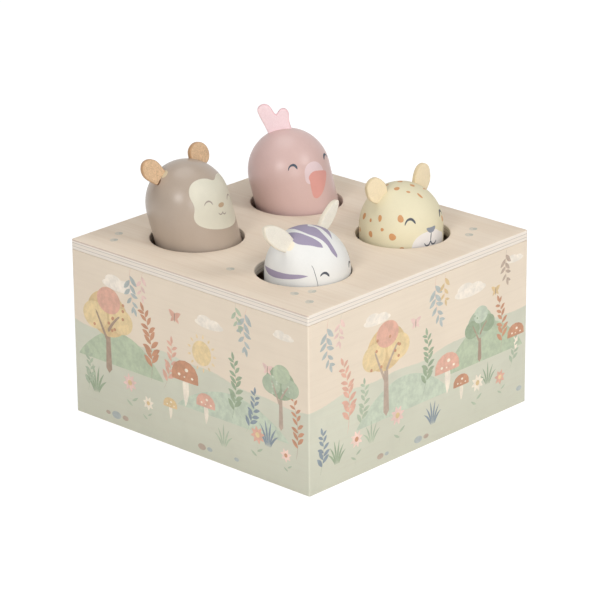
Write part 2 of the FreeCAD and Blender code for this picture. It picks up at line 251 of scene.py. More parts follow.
def make_piece(name, sheets, body, material, replaces=(), sharp=35.0):
    """Mesh object from sheets, each (points, wrap rows, wrap columns, {attribute: values}).

    Doubles are merged, which closes poles and seams, and the faces of the closed shells are
    turned outwards."""
    corners, faces, start, notes = [], [], 0, {}
    for points, wrap_rows, wrap_columns, marks in sheets:
        shape = points.shape[:2]
        corners.append(points.reshape(-1, 3))
        faces.append(grid_faces(*shape, wrap_rows, wrap_columns) + start)
        start += len(corners[-1])
        for key, values in marks.items():
            full = shape + (4,) if key == "ink" else shape
            notes.setdefault(key, []).append(np.broadcast_to(values, full).ravel())
    mesh = bpy.data.meshes.new(name)
    mesh.from_pydata(np.concatenate(corners), [], np.concatenate(faces))
    for key, values in notes.items():
        kind, field = ("FLOAT_COLOR", "color") if key == "ink" else ("FLOAT", "value")
        layer = mesh.attributes.new(key, kind, "POINT")
        layer.data.foreach_set(field, np.concatenate(values).astype(np.float32))
    loose = bmesh.new()
    loose.from_mesh(mesh)
    bmesh.ops.remove_doubles(loose, verts=loose.verts, dist=MERGE)
    bmesh.ops.recalc_face_normals(loose, faces=loose.faces)
    loose.to_mesh(mesh)
    loose.free()
    mesh.shade_smooth()
    mesh.set_sharp_from_angle(angle=math.radians(sharp))
    mesh.materials.append(material)
    piece = link(name, mesh)
    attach(piece, body)
    if replaces:
        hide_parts(*replaces)
    return piece


def raised(points, height):
    """Flat points with a height for their third coordinate."""
    return np.concatenate([points, np.broadcast_to(height, points.shape[:-1] + (1,))], -1)


def way(angle):
    """Sine and cosine: the way that an angle from upright points on a flat picture."""
    return np.array([math.sin(angle), math.cos(angle)])


def rounded_square(half, radius, per_side, per_corner):
    """Points and outward normals of the quarter of a rounded square with x and y above 0.

    From (half, 0) up, round the corner as an arc and back to (0, half)."""
    turn = np.linspace(0, math.pi / 2, per_corner)[1:-1]
    arc = np.stack([np.cos(turn), np.sin(turn)], -1)
    side = np.stack([np.full(per_side, half), np.linspace(0, half - radius, per_side)], -1)
    points = np.concatenate([side, half - radius + radius * arc, side[::-1, ::-1]])
    return points, np.concatenate([np.tile([1.0, 0.0], (per_side, 1)), arc,
                                   np.tile([0.0, 1.0], (per_side, 1))])


def quarters(points):
    """The same sheet in the four quarters of the box: mirrored across X, Y and both."""
    return [points * np.array([x, y, 1.0]) for x in (1, -1) for y in (1, -1)]


def edge_profile(top, bottom, rounding):
    """How far inside the outline, and how high, an edge runs that is rounded above and below."""
    turn = np.linspace(0, math.pi / 2, 5)
    inset = rounding * (1 - np.sin(turn))
    drop = rounding * (1 - np.cos(turn))
    return np.concatenate([inset, inset[::-1]]), np.concatenate([top - drop, bottom + drop[::-1]])


# ---- Places of the figures ----
def turn_about(axis, degrees):
    """Rotation matrix about an axis, by Rodrigues' formula."""
    x, y, z = unit(np.array(axis, float))
    cross = np.array([[0, -z, y], [z, 0, -x], [-y, x, 0]])
    angle = math.radians(degrees)
    return np.eye(3) + math.sin(angle) * cross + (1 - math.cos(angle)) * cross @ cross


def peg_place(name):
    """Rotation and foot of a peg, which leans along the heading about the point where it crosses
    the lid."""
    box, pegs = settings()
    column, row, stand, lean, shift, turn = FIGURES[name]
    heading = math.radians(LEAN_HEADING)
    lean_to = np.array([math.cos(heading), math.sin(heading), 0.0])
    tilt = turn_about((-lean_to[1], lean_to[0], 0), lean)
    pivot = np.array([column * box.reach, row * box.reach, box.top - box.lid_thickness / 2])
    foot = tilt @ np.array([0, 0, stand * MM + box.lid_thickness / 2 - pegs.length])
    return tilt @ turn_about((0, 0, 1), turn), pivot + lean_to * shift * MM + foot


def dome_height(radius, pegs):
    """Height of the dome over the peg's foot: a quarter ellipse over the radius."""
    return pegs.length - pegs.dome + pegs.dome * np.sqrt(1 - (radius / pegs.radius) ** 2)


def settings():
    scene = bpy.context.scene
    return scene.toy_box, scene.toy_pegs


# ---- Materials ----
class Value:
    """A number inside a material. Python's operators add the Math nodes that work it out."""

    def __init__(self, shader, socket):
        self.shader, self.socket = shader, socket

    def math(self, operation, *numbers):
        return self.shader.node("ShaderNodeMath", {"operation": operation},
                                dict(enumerate(numbers)))

    def __add__(self, other):
        return self.math("ADD", self, other)

    def __sub__(self, other):
        return self.math("SUBTRACT", self, other)

    def __rsub__(self, other):
        return self.math("SUBTRACT", other, self)

    def __mul__(self, other):
        return self.math("MULTIPLY", self, other)

    def __truediv__(self, other):
        return self.math("DIVIDE", self, other)

    def __gt__(self, other):
        return self.math("GREATER_THAN", self, other)

    def __lt__(self, other):
        return self.math("LESS_THAN", self, other)

    def __abs__(self):
        return self.math("ABSOLUTE", self)

    __radd__, __rmul__ = __add__, __mul__

    def larger(self, other):
        return self.math("MAXIMUM", self, other)

    def sine(self):
        return self.math("SINE", self)

    def fraction(self):
        return self.math("FRACT", self)

    def rise(self, low, high):
        """0 below low, 1 above high and a smooth step between them."""
        return self.shader.node("ShaderNodeMapRange", {"interpolation_type": "SMOOTHSTEP"},
                                {"Value": self, "From Min": low, "From Max": high})


class Shader:
    """The nodes of one material, or of the world."""

    def __init__(self, owner):
        owner.use_nodes = True
        self.owner, self.tree = owner, owner.node_tree
        self.tree.nodes.clear()

    @cached_property
    def place(self):
        """The shaded point on its piece, in metres."""
        return self.node("ShaderNodeTexCoord", output="Object")

    def node(self, kind, chosen=None, values=None, output=0):
        """Adds a node: what is chosen on it is set first, then its sockets' values or links."""
        node = self.tree.nodes.new(kind)
        for key, value in (chosen or {}).items():
            setattr(node, key, value)
        for key, value in (values or {}).items():
            if isinstance(value, Value):
                self.tree.links.new(value.socket, node.inputs[key])
            else:
                node.inputs[key].default_value = value
        return Value(self, node.outputs[output]) if node.outputs else None

    def axes(self):
        """The place's X, Y and Z as numbers."""
        return [self.node("ShaderNodeSeparateXYZ", {}, {"Vector": self.place}, axis)
                for axis in "XYZ"]

    def noise(self, size, detail, roughness=0.5, centre=(0, 0, 0), distortion=0.0):
        """Noise from 0 to 1 whose features are about size metres; three sizes stretch it."""
        scale = tuple(1 / np.broadcast_to(size, 3))
        vector = self.node("ShaderNodeMapping", {},
                           {"Vector": self.place, "Location": centre, "Scale": scale})
        return self.node("ShaderNodeTexNoise", {},
                         {"Vector": vector, "Scale": 1.0, "Detail": detail,
                          "Roughness": roughness, "Distortion": distortion})

    def mix(self, factor, first, second, mode="MIX"):
        return self.node("ShaderNodeMix", {"data_type": "RGBA", "blend_type": mode},
                         {0: factor, 6: first, 7: second}, output=2)

    def attribute(self, name, output="Fac"):
        return self.node("ShaderNodeAttribute", {"attribute_name": name}, output=output)

    def bump(self, height, distance, strength):
        return self.node("ShaderNodeBump", {},
                         {"Height": height, "Distance": distance, "Strength": strength})

    def finish(self, **sockets):
        """Principled surface with the given sockets; a name's underscores stand for spaces."""
        values = {key.replace("_", " "): value for key, value in sockets.items()}
        surface = self.node("ShaderNodeBsdfPrincipled", {}, values)
        self.node("ShaderNodeOutputMaterial", {}, {"Surface": surface})
        return self.owner


def new_shader(name):
    return Shader(bpy.data.materials.new(name))


def shade(colour, factor):
    """A colour made darker or lighter."""
    return rgba(min(1.0, c * factor) for c in colour[:3])


def wood_tone(shader, light, dark, along, amount=0.7):
    """Sawn wood: long fine streaks over a broad figure. along is 0, 1 or 2 for X, Y or Z."""
    fine, broad, fleck = [0.0014] * 3, [0.016] * 3, [0.0005] * 3
    fine[along], broad[along], fleck[along] = 0.05, 0.16, 0.005
    streaks = shader.noise(fine, 4.0, 0.6)
    figure = shader.noise(broad, 3.0, 0.55, (0.3, 0.1, 0.7), 0.6)
    flecks = shader.noise(fleck, 1.0, 0.5, (0.9, 0.4, 0.2)).rise(0.63, 0.74)
    share = streaks.rise(0.35, 0.75) * 0.45 + figure.rise(0.35, 0.7) * 0.5 + flecks * 0.22
    return shader.mix(share * amount, light, dark), streaks


def plywood(name, box):
    """Birch plywood: grain on the faces, and on the edges plies that differ by turns, with a thin
    glue line between them."""
    shader = new_shader(name)
    x, _, z = shader.axes()
    thickness = box.lid_thickness
    face, streaks = wood_tone(shader, rgba(box.birch), rgba(box.birch_dark), 1)
    layer = (box.top - z) * (box.plies / thickness)
    odd = (layer * 0.5).fraction() > 0.5
    rough = shader.noise((0.0006, 0.0006, 0.00012), 2.0)
    ply = shader.mix(odd * 0.15 + rough * 0.35, rgba(box.edge), shade(box.birch, 0.95))
    near_glue = abs(layer.fraction() - 0.5).rise(0.40, 0.47)
    ply = shader.mix(near_glue * 0.75, ply, rgba(box.glue))
    # Along the sides that face X, the topmost edge is drawn as a darker line.
    top_edge_line = (abs(x) > box.side / 2 - 0.6 * MM) * (z > box.top - 0.8 * MM)
    ply = shader.mix(top_edge_line * 0.5, ply, rgba(box.top_edge_line))
    on_edge = (z < box.top - 0.22 * MM) * (z > box.top - thickness + 0.1 * MM)
    relief = streaks * (1 - on_edge) + rough * on_edge
    return shader.finish(Base_Color=shader.mix(on_edge, face, ply), Roughness=0.58 + 0.1 * streaks,
                         Normal=shader.bump(relief, 0.06 * MM, 0.5), Specular_IOR_Level=0.35)


def plain_wood(name, light, dark, along=2):
    shader = new_shader(name)
    tone, streaks = wood_tone(shader, light, dark, along, 1.3)
    return shader.finish(Base_Color=tone, Roughness=0.6 + 0.12 * streaks,
                         Normal=shader.bump(streaks, 0.1 * MM, 0.5))


def printed_board(name, box):
    """Side of the box: print over sawn birch outside, bare wood inside and underneath.

    The meadow ends at a height that rises gently along X and Y, with a slow wave and a rough
    brush edge. Both inks are thin, so that the grain, which runs level, shows through."""
    shader = new_shader(name)
    x, y, z = shader.axes()
    level = abs(x).larger(abs(y))
    wood_x, streaks_x = wood_tone(shader, rgba(box.birch), rgba(box.birch_dark), 0)
    wood_y, streaks_y = wood_tone(shader, rgba(box.birch), rgba(box.birch_dark), 1)
    faces_x = abs(x) > abs(y)
    wood = shader.mix(faces_x, wood_x, wood_y)
    streaks = streaks_x * (1 - faces_x) + streaks_y * faces_x
    wash = shader.noise(0.035, 3.0, 0.6, (0.2, 0.5, 0.1))
    blotch = shader.noise(0.009, 4.0, 0.65, (0.6, 0.1, 0.4))
    waves = 0.0012 * ((x - y) * 62).sine() + 0.0006 * ((x + y) * 190).sine()
    edge = 0.0478 + 0.060 * x + 0.050 * y + waves + (shader.noise(0.0016, 3.0, 0.7) - 0.5) * 0.0009
    sky = shader.mix(wash.rise(0.3, 0.75) * 0.55, rgba(box.sky), shade(box.sky, 0.93))
    green = shader.mix(wash.rise(0.35, 0.7), rgba(box.meadow), shade(box.meadow, 1.08))
    green = shader.mix(blotch.rise(0.45, 0.8) * 0.3, green, shade(box.meadow, 0.9))
    # Damp patches: paler and darker clouds of the wash low in the meadow.
    low = 1 - (z / 0.03).rise(0.1, 1.0)
    green = shader.mix(low * wash.rise(0.4, 0.6) * 0.35, green, shade(box.meadow, 0.92))
    ink = shader.mix((edge - z).rise(-0.35 * MM, 0.35 * MM), sky, green)
    stained = shader.mix(1.0, wood, ink, "MULTIPLY")
    printed = shader.mix(0.80, shader.mix(0.62, shader.mix(0.62, wood, ink), stained), ink)
    printed = shader.mix(streaks.rise(0.42, 0.8) * 0.09, printed, shade(box.birch_dark, 0.8))
    outside = (level > box.side / 2 - 2.5 * MM) * (z > 0.05 * MM)
    return shader.finish(Base_Color=shader.mix(outside, wood, printed),
                         Roughness=0.52 + 0.12 * streaks,
                         Normal=shader.bump(streaks, 0.05 * MM, 0.5), Specular_IOR_Level=0.4)


def peg_paint(name, colour, roughness, coat):
    """Satin paint over turned wood, a little deeper where it is thin; the bore is left bare."""
    shader = new_shader(name)
    cloud = shader.noise(0.016, 3.0, 0.55)
    fine = shader.noise(0.0009, 3.0, 0.6)
    tone = shader.mix(cloud.rise(0.3, 0.75) * 0.35, shade(colour, 1.03), shade(colour, 0.93))
    tone = shader.mix(fine.rise(0.45, 0.8) * 0.12, tone, shade(colour, 0.82))
    raw, bare = shader.attribute("bare"), paint("DFC49C")
    wood, _ = wood_tone(shader, bare, shade(bare, 0.8), 2)
    return shader.finish(Base_Color=shader.mix(raw, tone, wood),
                         Roughness=roughness + 0.08 * cloud + 0.25 * raw,
                         Normal=shader.bump(fine + 0.6 * cloud, 0.05 * MM, 0.45),
                         Coat_Weight=coat * (1 - raw), Coat_Roughness=0.27,
                         Specular_IOR_Level=0.3)


def sheet_material(name, colour, rim_colour, nap, depth, roughness):
    """Leather or felt: fine tangled nap, clouds of tone and a cut rim of another tone."""
    shader = new_shader(name)
    tangle = shader.noise(nap, 5.0, 0.75, distortion=1.5)
    clouds = shader.noise(0.004, 3.0, 0.6)
    tone = shader.mix(tangle.rise(0.3, 0.7), shade(colour, 1 + depth / 2), shade(colour, 1 - depth))
    tone = shader.mix(clouds.rise(0.4, 0.8) * depth, tone, shade(colour, 0.8))
    rim = shader.attribute("rim") * (0.55 + 0.45 * tangle)
    return shader.finish(Base_Color=shader.mix(rim, tone, rim_colour), Roughness=roughness,
                         Normal=shader.bump(tangle + 0.5 * clouds, 0.4 * MM, 0.6),
                         Specular_IOR_Level=0.15, Sheen_Weight=0.25, Sheen_Roughness=0.6)


def ink_material(name, cloud, depth):
    """Ink or paint of the shade kept in the piece's own colour attribute, with clouds of depth."""
    shader = new_shader(name)
    tone = shader.attribute("ink", "Color")
    wash = shader.noise(cloud, 4.0, 0.65)
    pale = shader.mix(1.0, tone, rgba(1 + share * depth for share in (1, 0.9, 0.8)), "MULTIPLY")
    deep = shader.mix(1.0, tone, rgba([1 - depth] * 3), "MULTIPLY")
    return shader.finish(Base_Color=shader.mix(wash.rise(0.3, 0.72), deep, pale),
                         Roughness=0.5 + 0.1 * wash, Specular_IOR_Level=0.4,
                         Normal=shader.bump(wash, 0.03 * MM, 0.4))


def steel(name, colour, roughness):
    shader = new_shader(name)
    drawn = shader.noise(0.0004, 3.0, 0.6)
    smear = shader.noise(0.004, 3.0, 0.6)
    tone = shader.mix(smear.rise(0.35, 0.75) * 0.5, colour, shade(colour, 0.75))
    return shader.finish(Base_Color=tone, Metallic=1.0, Roughness=roughness + 0.15 * drawn,
                         Normal=shader.bump(drawn, 0.02 * MM, 0.3))


# ---- Lid ----
def lid_sheets(box):
    """Board with four round holes.

    Each quarter's faces run straight from a point of the hole's rim to the point of the
    quarter's outline that lies in the same direction. The rims are the rounded edge's profile
    carried round the outline and round each hole."""
    half, low = box.side / 2, box.top - box.lid_thickness
    inner, outward = rounded_square(half - box.rounding, box.corner - box.rounding, 60, 9)
    back = np.linspace(inner[0, 0], 0, 40)[1:, None]
    outline = np.concatenate([inner, back * (0, 1), back[-2::-1] * (1, 0)])
    centre = np.array([box.reach, box.reach])
    direction = unit(outline - centre)
    rim = centre + direction * (box.hole / 2 + box.rounding)
    flat = rim + (outline - rim) * np.linspace(0, 1, 5)[:, None, None] ** 1.3
    sheets = []
    for height in (box.top, low):
        sheets += [(points, False, True, {}) for points in quarters(raised(flat, height))]
    inset, height = (numbers[:, None, None] for numbers in edge_profile(box.top, low, box.rounding))
    band = raised(inner + outward * (box.rounding - inset), height)
    wall = raised(centre + direction * (box.hole / 2 + inset), height)
    sheets += [(points, False, False, {}) for points in quarters(band)]
    return sheets + [(points, False, True, {}) for points in quarters(wall)]


class TOY_OT_lid(Operator):
    """Make the plywood lid with its four holes and the touched-up marks on it"""
    bl_idname = "toy.lid"
    bl_label = "Lid"

    def execute(self, context):
        box, _ = settings()
        make_piece("lid_board", lid_sheets(box), "box",
                   plywood("birch_plywood", box), ("lid",))
        # Marks as shares of the side. Each is a small dab with a fainter one beside it.
        places = np.array([(-.365, .42), (-.417, .388), (-.362, -.06), (-.34, -.375),
                           (-.387, -.348), (-.408, -.428), (.397, -.373), (.348, -.398),
                           (.36, .40), (.405, .365)]) * box.side
        strokes = []
        for step, middle in enumerate(places):
            reach = way(math.radians(-50 + 14 * math.sin(3.7 * step)))[::-1] * MM
            aside = middle - 0.9 * reach + 0.3 * reach[::-1]
            strokes += [
                ((middle - reach, middle, middle + reach), 3.2 * MM, "oval", 1, "dab"),
                ((aside - 1.6 * reach, aside, aside + 1.6 * reach), 4.4 * MM, "oval", 0, "faint"),
            ]

        def place(points, lift):
            return raised(points, (box.top + lift)[..., None])

        make_piece("lid_dabs", stroke_sheets(strokes, place), "box",
                   ink_material("dab_ink", 0.002, 0.1))
        return {"FINISHED"}


# ---- Print ----
INKS = {
    "rust": "C99678", "sage": "B3BEA6", "moss": "9FAD92", "slate": "B5BBB8", "navy": "8E99A2",
    "pink": "E6C8BE", "coral": "DFB09C", "ochre": "DCC194", "honey": "E8D0A2", "taupe": "BCA898",
    "bark": "AF9886", "cloud": "F2E8DA", "petal": "EFD3C6", "mint": "C6CFBB", "cream": "F0E5D3",
    "leafy": "BAC5AA", "dab": "BFBDB1", "faint": "D3CBBC",
}


def widths(form, t):
    """Half width along a stroke, as a share, on its left and on its right side."""
    oval = np.sqrt(np.clip(1 - (2 * t - 1) ** 2, 0, 1))
    leaf = np.sin(math.pi * t) ** 0.85 * (1.1 - 0.3 * t)
    line = np.clip(np.minimum(t, 1 - t) * 18, 0, 1) ** 0.5 * (1 - 0.45 * t)
    drop = np.sin(math.pi * t ** 0.62) ** 0.8
    return {"oval": (oval, oval), "leaf": (leaf, leaf), "line": (line, line), "drop": (drop, drop),
            "cap": (oval ** 0.8, 0.08 * oval), "mound": (np.sin(math.pi * t) ** 0.8, t * 0)}[form]


def levels(low, high, layers):
    """Level of each stroke: one above the highest earlier stroke whose bounding box meets its own.

    Strokes are taken layer by layer, and within a layer in their order."""
    level = np.zeros(len(layers), int)
    done = np.zeros(len(layers), bool)
    for step in np.argsort(layers, kind="stable"):
        meets = done & np.all((low <= high[step]) & (high >= low[step]), axis=1)
        level[step] = level[meets].max(initial=0) + 1
        done[step] = True
    return level


def stroke_sheets(strokes, place):
    """All strokes as thin closed ribbons.

    A stroke is ((start, control, end), width, form, layer, ink). Its ribbon is the quadratic
    curve (1-t)^2 A + 2t(1-t) B + t^2 C of those three points, moved left and right by its half
    width, with a raised face and a sunk back. place turns flat points and a lift into space.
    A stroke that meets others lies a little above those of earlier layers, so that no two
    faces coincide."""
    sections = []
    for curve, width, form, layer, ink in strokes:
        if form == "line":
            t = np.linspace(0, 1, 13)
        else:
            t = (1 - np.cos(np.linspace(0, math.pi, 9 if width < 3.5 * MM else 25))) / 2
        a, b, c = np.array(curve, float)
        u = t[:, None]
        centre = (1 - u) ** 2 * a + 2 * u * (1 - u) * b + u ** 2 * c
        along = unit(2 * (1 - u) * (b - a) + 2 * u * (c - b) + 1e-9)
        left = np.stack([-along[:, 1], along[:, 0]], -1)
        up, down = widths(form, t)
        upper = centre + left * (up * width / 2)[:, None]
        lower = centre - left * (down * width / 2)[:, None]
        sections.append(np.stack([upper, lower, lower, upper]))
    level = levels(np.array([section.min((0, 1)) for section in sections]),
                   np.array([section.max((0, 1)) for section in sections]),
                   [layer for *_, layer, _ in strokes])
    faces = PRINT_LIFT + min(PRINT_LEVEL, PRINT_RANGE / level.max()) * level
    sheets = []
    for section, face, (*_, ink) in zip(sections, faces, strokes):
        lift = np.array([face, face, -PRINT_SUNK, -PRINT_SUNK])[:, None]
        sheets.append((place(section, np.broadcast_to(lift, section.shape[:2])), True, False,
                       {"ink": paint(INKS[ink])}))
    return sheets


def oval(centre, width, height, ink, layer):
    """One stroke of the oval form, as long as the width and as thick as the height."""
    middle, reach = np.array(centre, float), np.array([width / 2, 0])
    return [((middle - reach, middle, middle + reach), height, "oval", layer, ink)]


def sprig(x, y, height, lean, leaves, size, stem, leaf):
    """Stem with leaves in turn left and right, smaller towards the tip, and one at the tip."""
    foot, tilt, slim = np.array([x, y], float), math.radians(lean), 0.42
    tip = foot + height * way(tilt)
    knee = (foot + tip) / 2 + np.array([math.cos(tilt), -math.sin(tilt)]) * height * 0.15
    rows = [((foot, knee, tip), height * 0.006 + 0.0007, "line", 3, stem)]
    for step, s in enumerate(np.linspace(0.2, 0.97, leaves)):
        root = (1 - s) ** 2 * foot + 2 * s * (1 - s) * knee + s * s * tip
        along = unit(2 * (1 - s) * (knee - foot) + 2 * s * (tip - knee))
        hand = 1 if step % 2 else -1
        angle = math.atan2(*along) + hand * math.radians(50 + 12 * math.sin(5.1 * step))
        length = size * (1.12 - 0.5 * s)
        end = root + length * way(angle)
        bend = (root + end) / 2 + along * length * 0.12
        rows.append(((root, bend, end), length * slim, "leaf", 4, leaf))
    top = tip + unit(tip - knee) * size * 0.7
    return rows + [((tip, (tip + top) / 2, top), size * slim * 0.7, "leaf", 4, leaf)]


def tuft(x, y, height, blades, ink):
    """Blades of grass that fan out from one foot and bend away from its middle."""
    rows = []
    for step in range(blades):
        share = 2 * step / (blades - 1) - 1
        angle = math.radians(38 * share)
        tall = height * (1 - 0.28 * abs(share) + 0.13 * math.sin(7 * step))
        root = np.array([x + share * height * 0.12, y])
        knee, end = root + tall * way(angle * 0.35) * 0.55, root + tall * way(angle)
        rows.append(((root, knee, end), height * 0.10 + 0.0003, "leaf", 3, ink))
    return rows


def flower(x, y, height, lean, radius, petals, ink, heart):
    """Flower on a stem with two leaves: petals set in a ring about a small heart."""
    foot = np.array([x, y], float)
    tip = foot + height * way(math.radians(lean))
    rows = [((foot, (foot + tip) / 2 + (height * 0.08, 0), tip), 0.0008, "line", 3, "sage")]
    for hand, share in ((-1, 0.25), (1, 0.42)):
        root = foot + (tip - foot) * share + (height * 0.03, 0)
        end = root + (hand * height * 0.26, height * 0.16)
        knee = (root + end) / 2 - (0, height * 0.03)
        rows.append(((root, knee, end), height * 0.09, "leaf", 4, "sage"))
    for step in range(petals):
        out = way(2 * math.pi * (step + 0.3) / petals)[::-1] * radius
        rows.append(((tip + out * 0.12, tip + out * 0.5, tip + out),
                     radius * 2.6 / petals + radius * 0.16, "drop", 6, ink))
    return rows + oval(tip, radius * 0.6, radius * 0.6, heart, 7)


def toadstool(x, y, height, width, ink):
    """Stalk that swells downwards under a domed cap with pale dots."""
    rim, top = y + height * 0.6, (x, y + height * 0.64)
    rows = [(((x, y + height * 0.72), (x + width * 0.05, y + height * 0.3), (x, y)),
             width * 0.24, "drop", 4, "cream"),
            (((x + width / 2, rim), top, (x - width / 2, rim)), -height * 0.9, "cap", 5, ink)]
    for across, up, size in ((-0.22, 0.72, 0.10), (0.06, 0.86, 0.13), (0.27, 0.70, 0.09),
                             (-0.02, 0.69, 0.06)):
        dot = (x + across * width, y + up * height)
        rows += oval(dot, size * width, size * width * 0.8, "cream", 6)
    return rows


def tree(x, y, height, crown, trunk_ink, *crown_inks):
    """Trunk with two boughs under a crown of overlapping ovals."""
    top = np.array([x, y + height - crown * 0.5])
    rows = [(((x - 0.0005, y), (x + 0.001, y + height * 0.3), top),
             crown * 0.13, "line", 3, trunk_ink)]
    for hand in (-1, 1):
        fork = np.array([x, y + height * (0.40 + 0.06 * hand)])
        bough = (fork, fork + (hand * crown * 0.1, crown * 0.18),
                 top + (hand * crown * 0.26, crown * 0.02))
        rows.append((bough, crown * 0.055, "line", 6, trunk_ink))
    for across, up, size, ink in ((0, 0.0, 0.86, 0), (-0.27, -0.08, 0.52, 1),
                                  (0.28, -0.05, 0.5, 1), (0.03, 0.22, 0.5, 2)):
        rows += oval(top + (across * crown, up * crown), size * crown, size * crown * 0.84,
                     crown_inks[ink], 5 if ink else 4)
    rng = np.random.default_rng(int(abs(x) * 1e5) % 977)
    for at in rng.uniform(-0.34, 0.34, (9, 2)):
        rows += oval(top + at * crown * (1, 0.8), crown * 0.055, crown * 0.05, crown_inks[3], 7)
    return rows


def cloud(x, y, width):
    """Three flat ovals that run into one another."""
    return (oval((x, y), width, width * 0.24, "cloud", 1)
            + oval((x - width * 0.16, y + width * 0.09), width * 0.5, width * 0.26, "cloud", 1)
            + oval((x + width * 0.18, y + width * 0.06), width * 0.42, width * 0.2, "cloud", 1))


def butterfly(x, y, size, ink):
    """Four wings set in pairs about a thin body."""
    middle, rows = np.array([x, y], float), []
    for across, up, width in ((-0.55, 0.5, 0.42), (0.62, 0.42, 0.42), (-0.38, -0.36, 0.3),
                              (0.42, -0.38, 0.3)):
        end = middle + np.array([across, up]) * size
        knee = (middle + end) / 2 + (0, 0.08 * size)
        rows.append(((middle, knee, end), width * size, "drop", 6, ink))
    body = (middle - (0, size * 0.35), middle, middle + (size * 0.03, size * 0.38))
    return rows + [(body, size * 0.11, "leaf", 7, "bark")]


def sun(x, y, radius, ink, rays):
    """Plain disc with short pointed rays."""
    rows = oval((x, y), 2 * radius, 2 * radius, ink, 2)
    for step in range(rays):
        out = way(2 * math.pi * step / rays)[::-1] * radius
        ray = [out * share + (x, y) for share in (1.18, 1.3, 1.55)]
        rows.append((ray, radius * 0.2, "leaf", 2, ink))
    return rows


def pebble(x, y, width, ink):
    """Oval that lies flat."""
    return oval((x, y), width, width * 0.62, ink, 3)


def mound(x, y, width, height, ink):
    """Hump that stands on a level line."""
    return [(((x - width / 2, y), (x, y), (x + width / 2, y)), height * 2, "mound", 1, ink)]


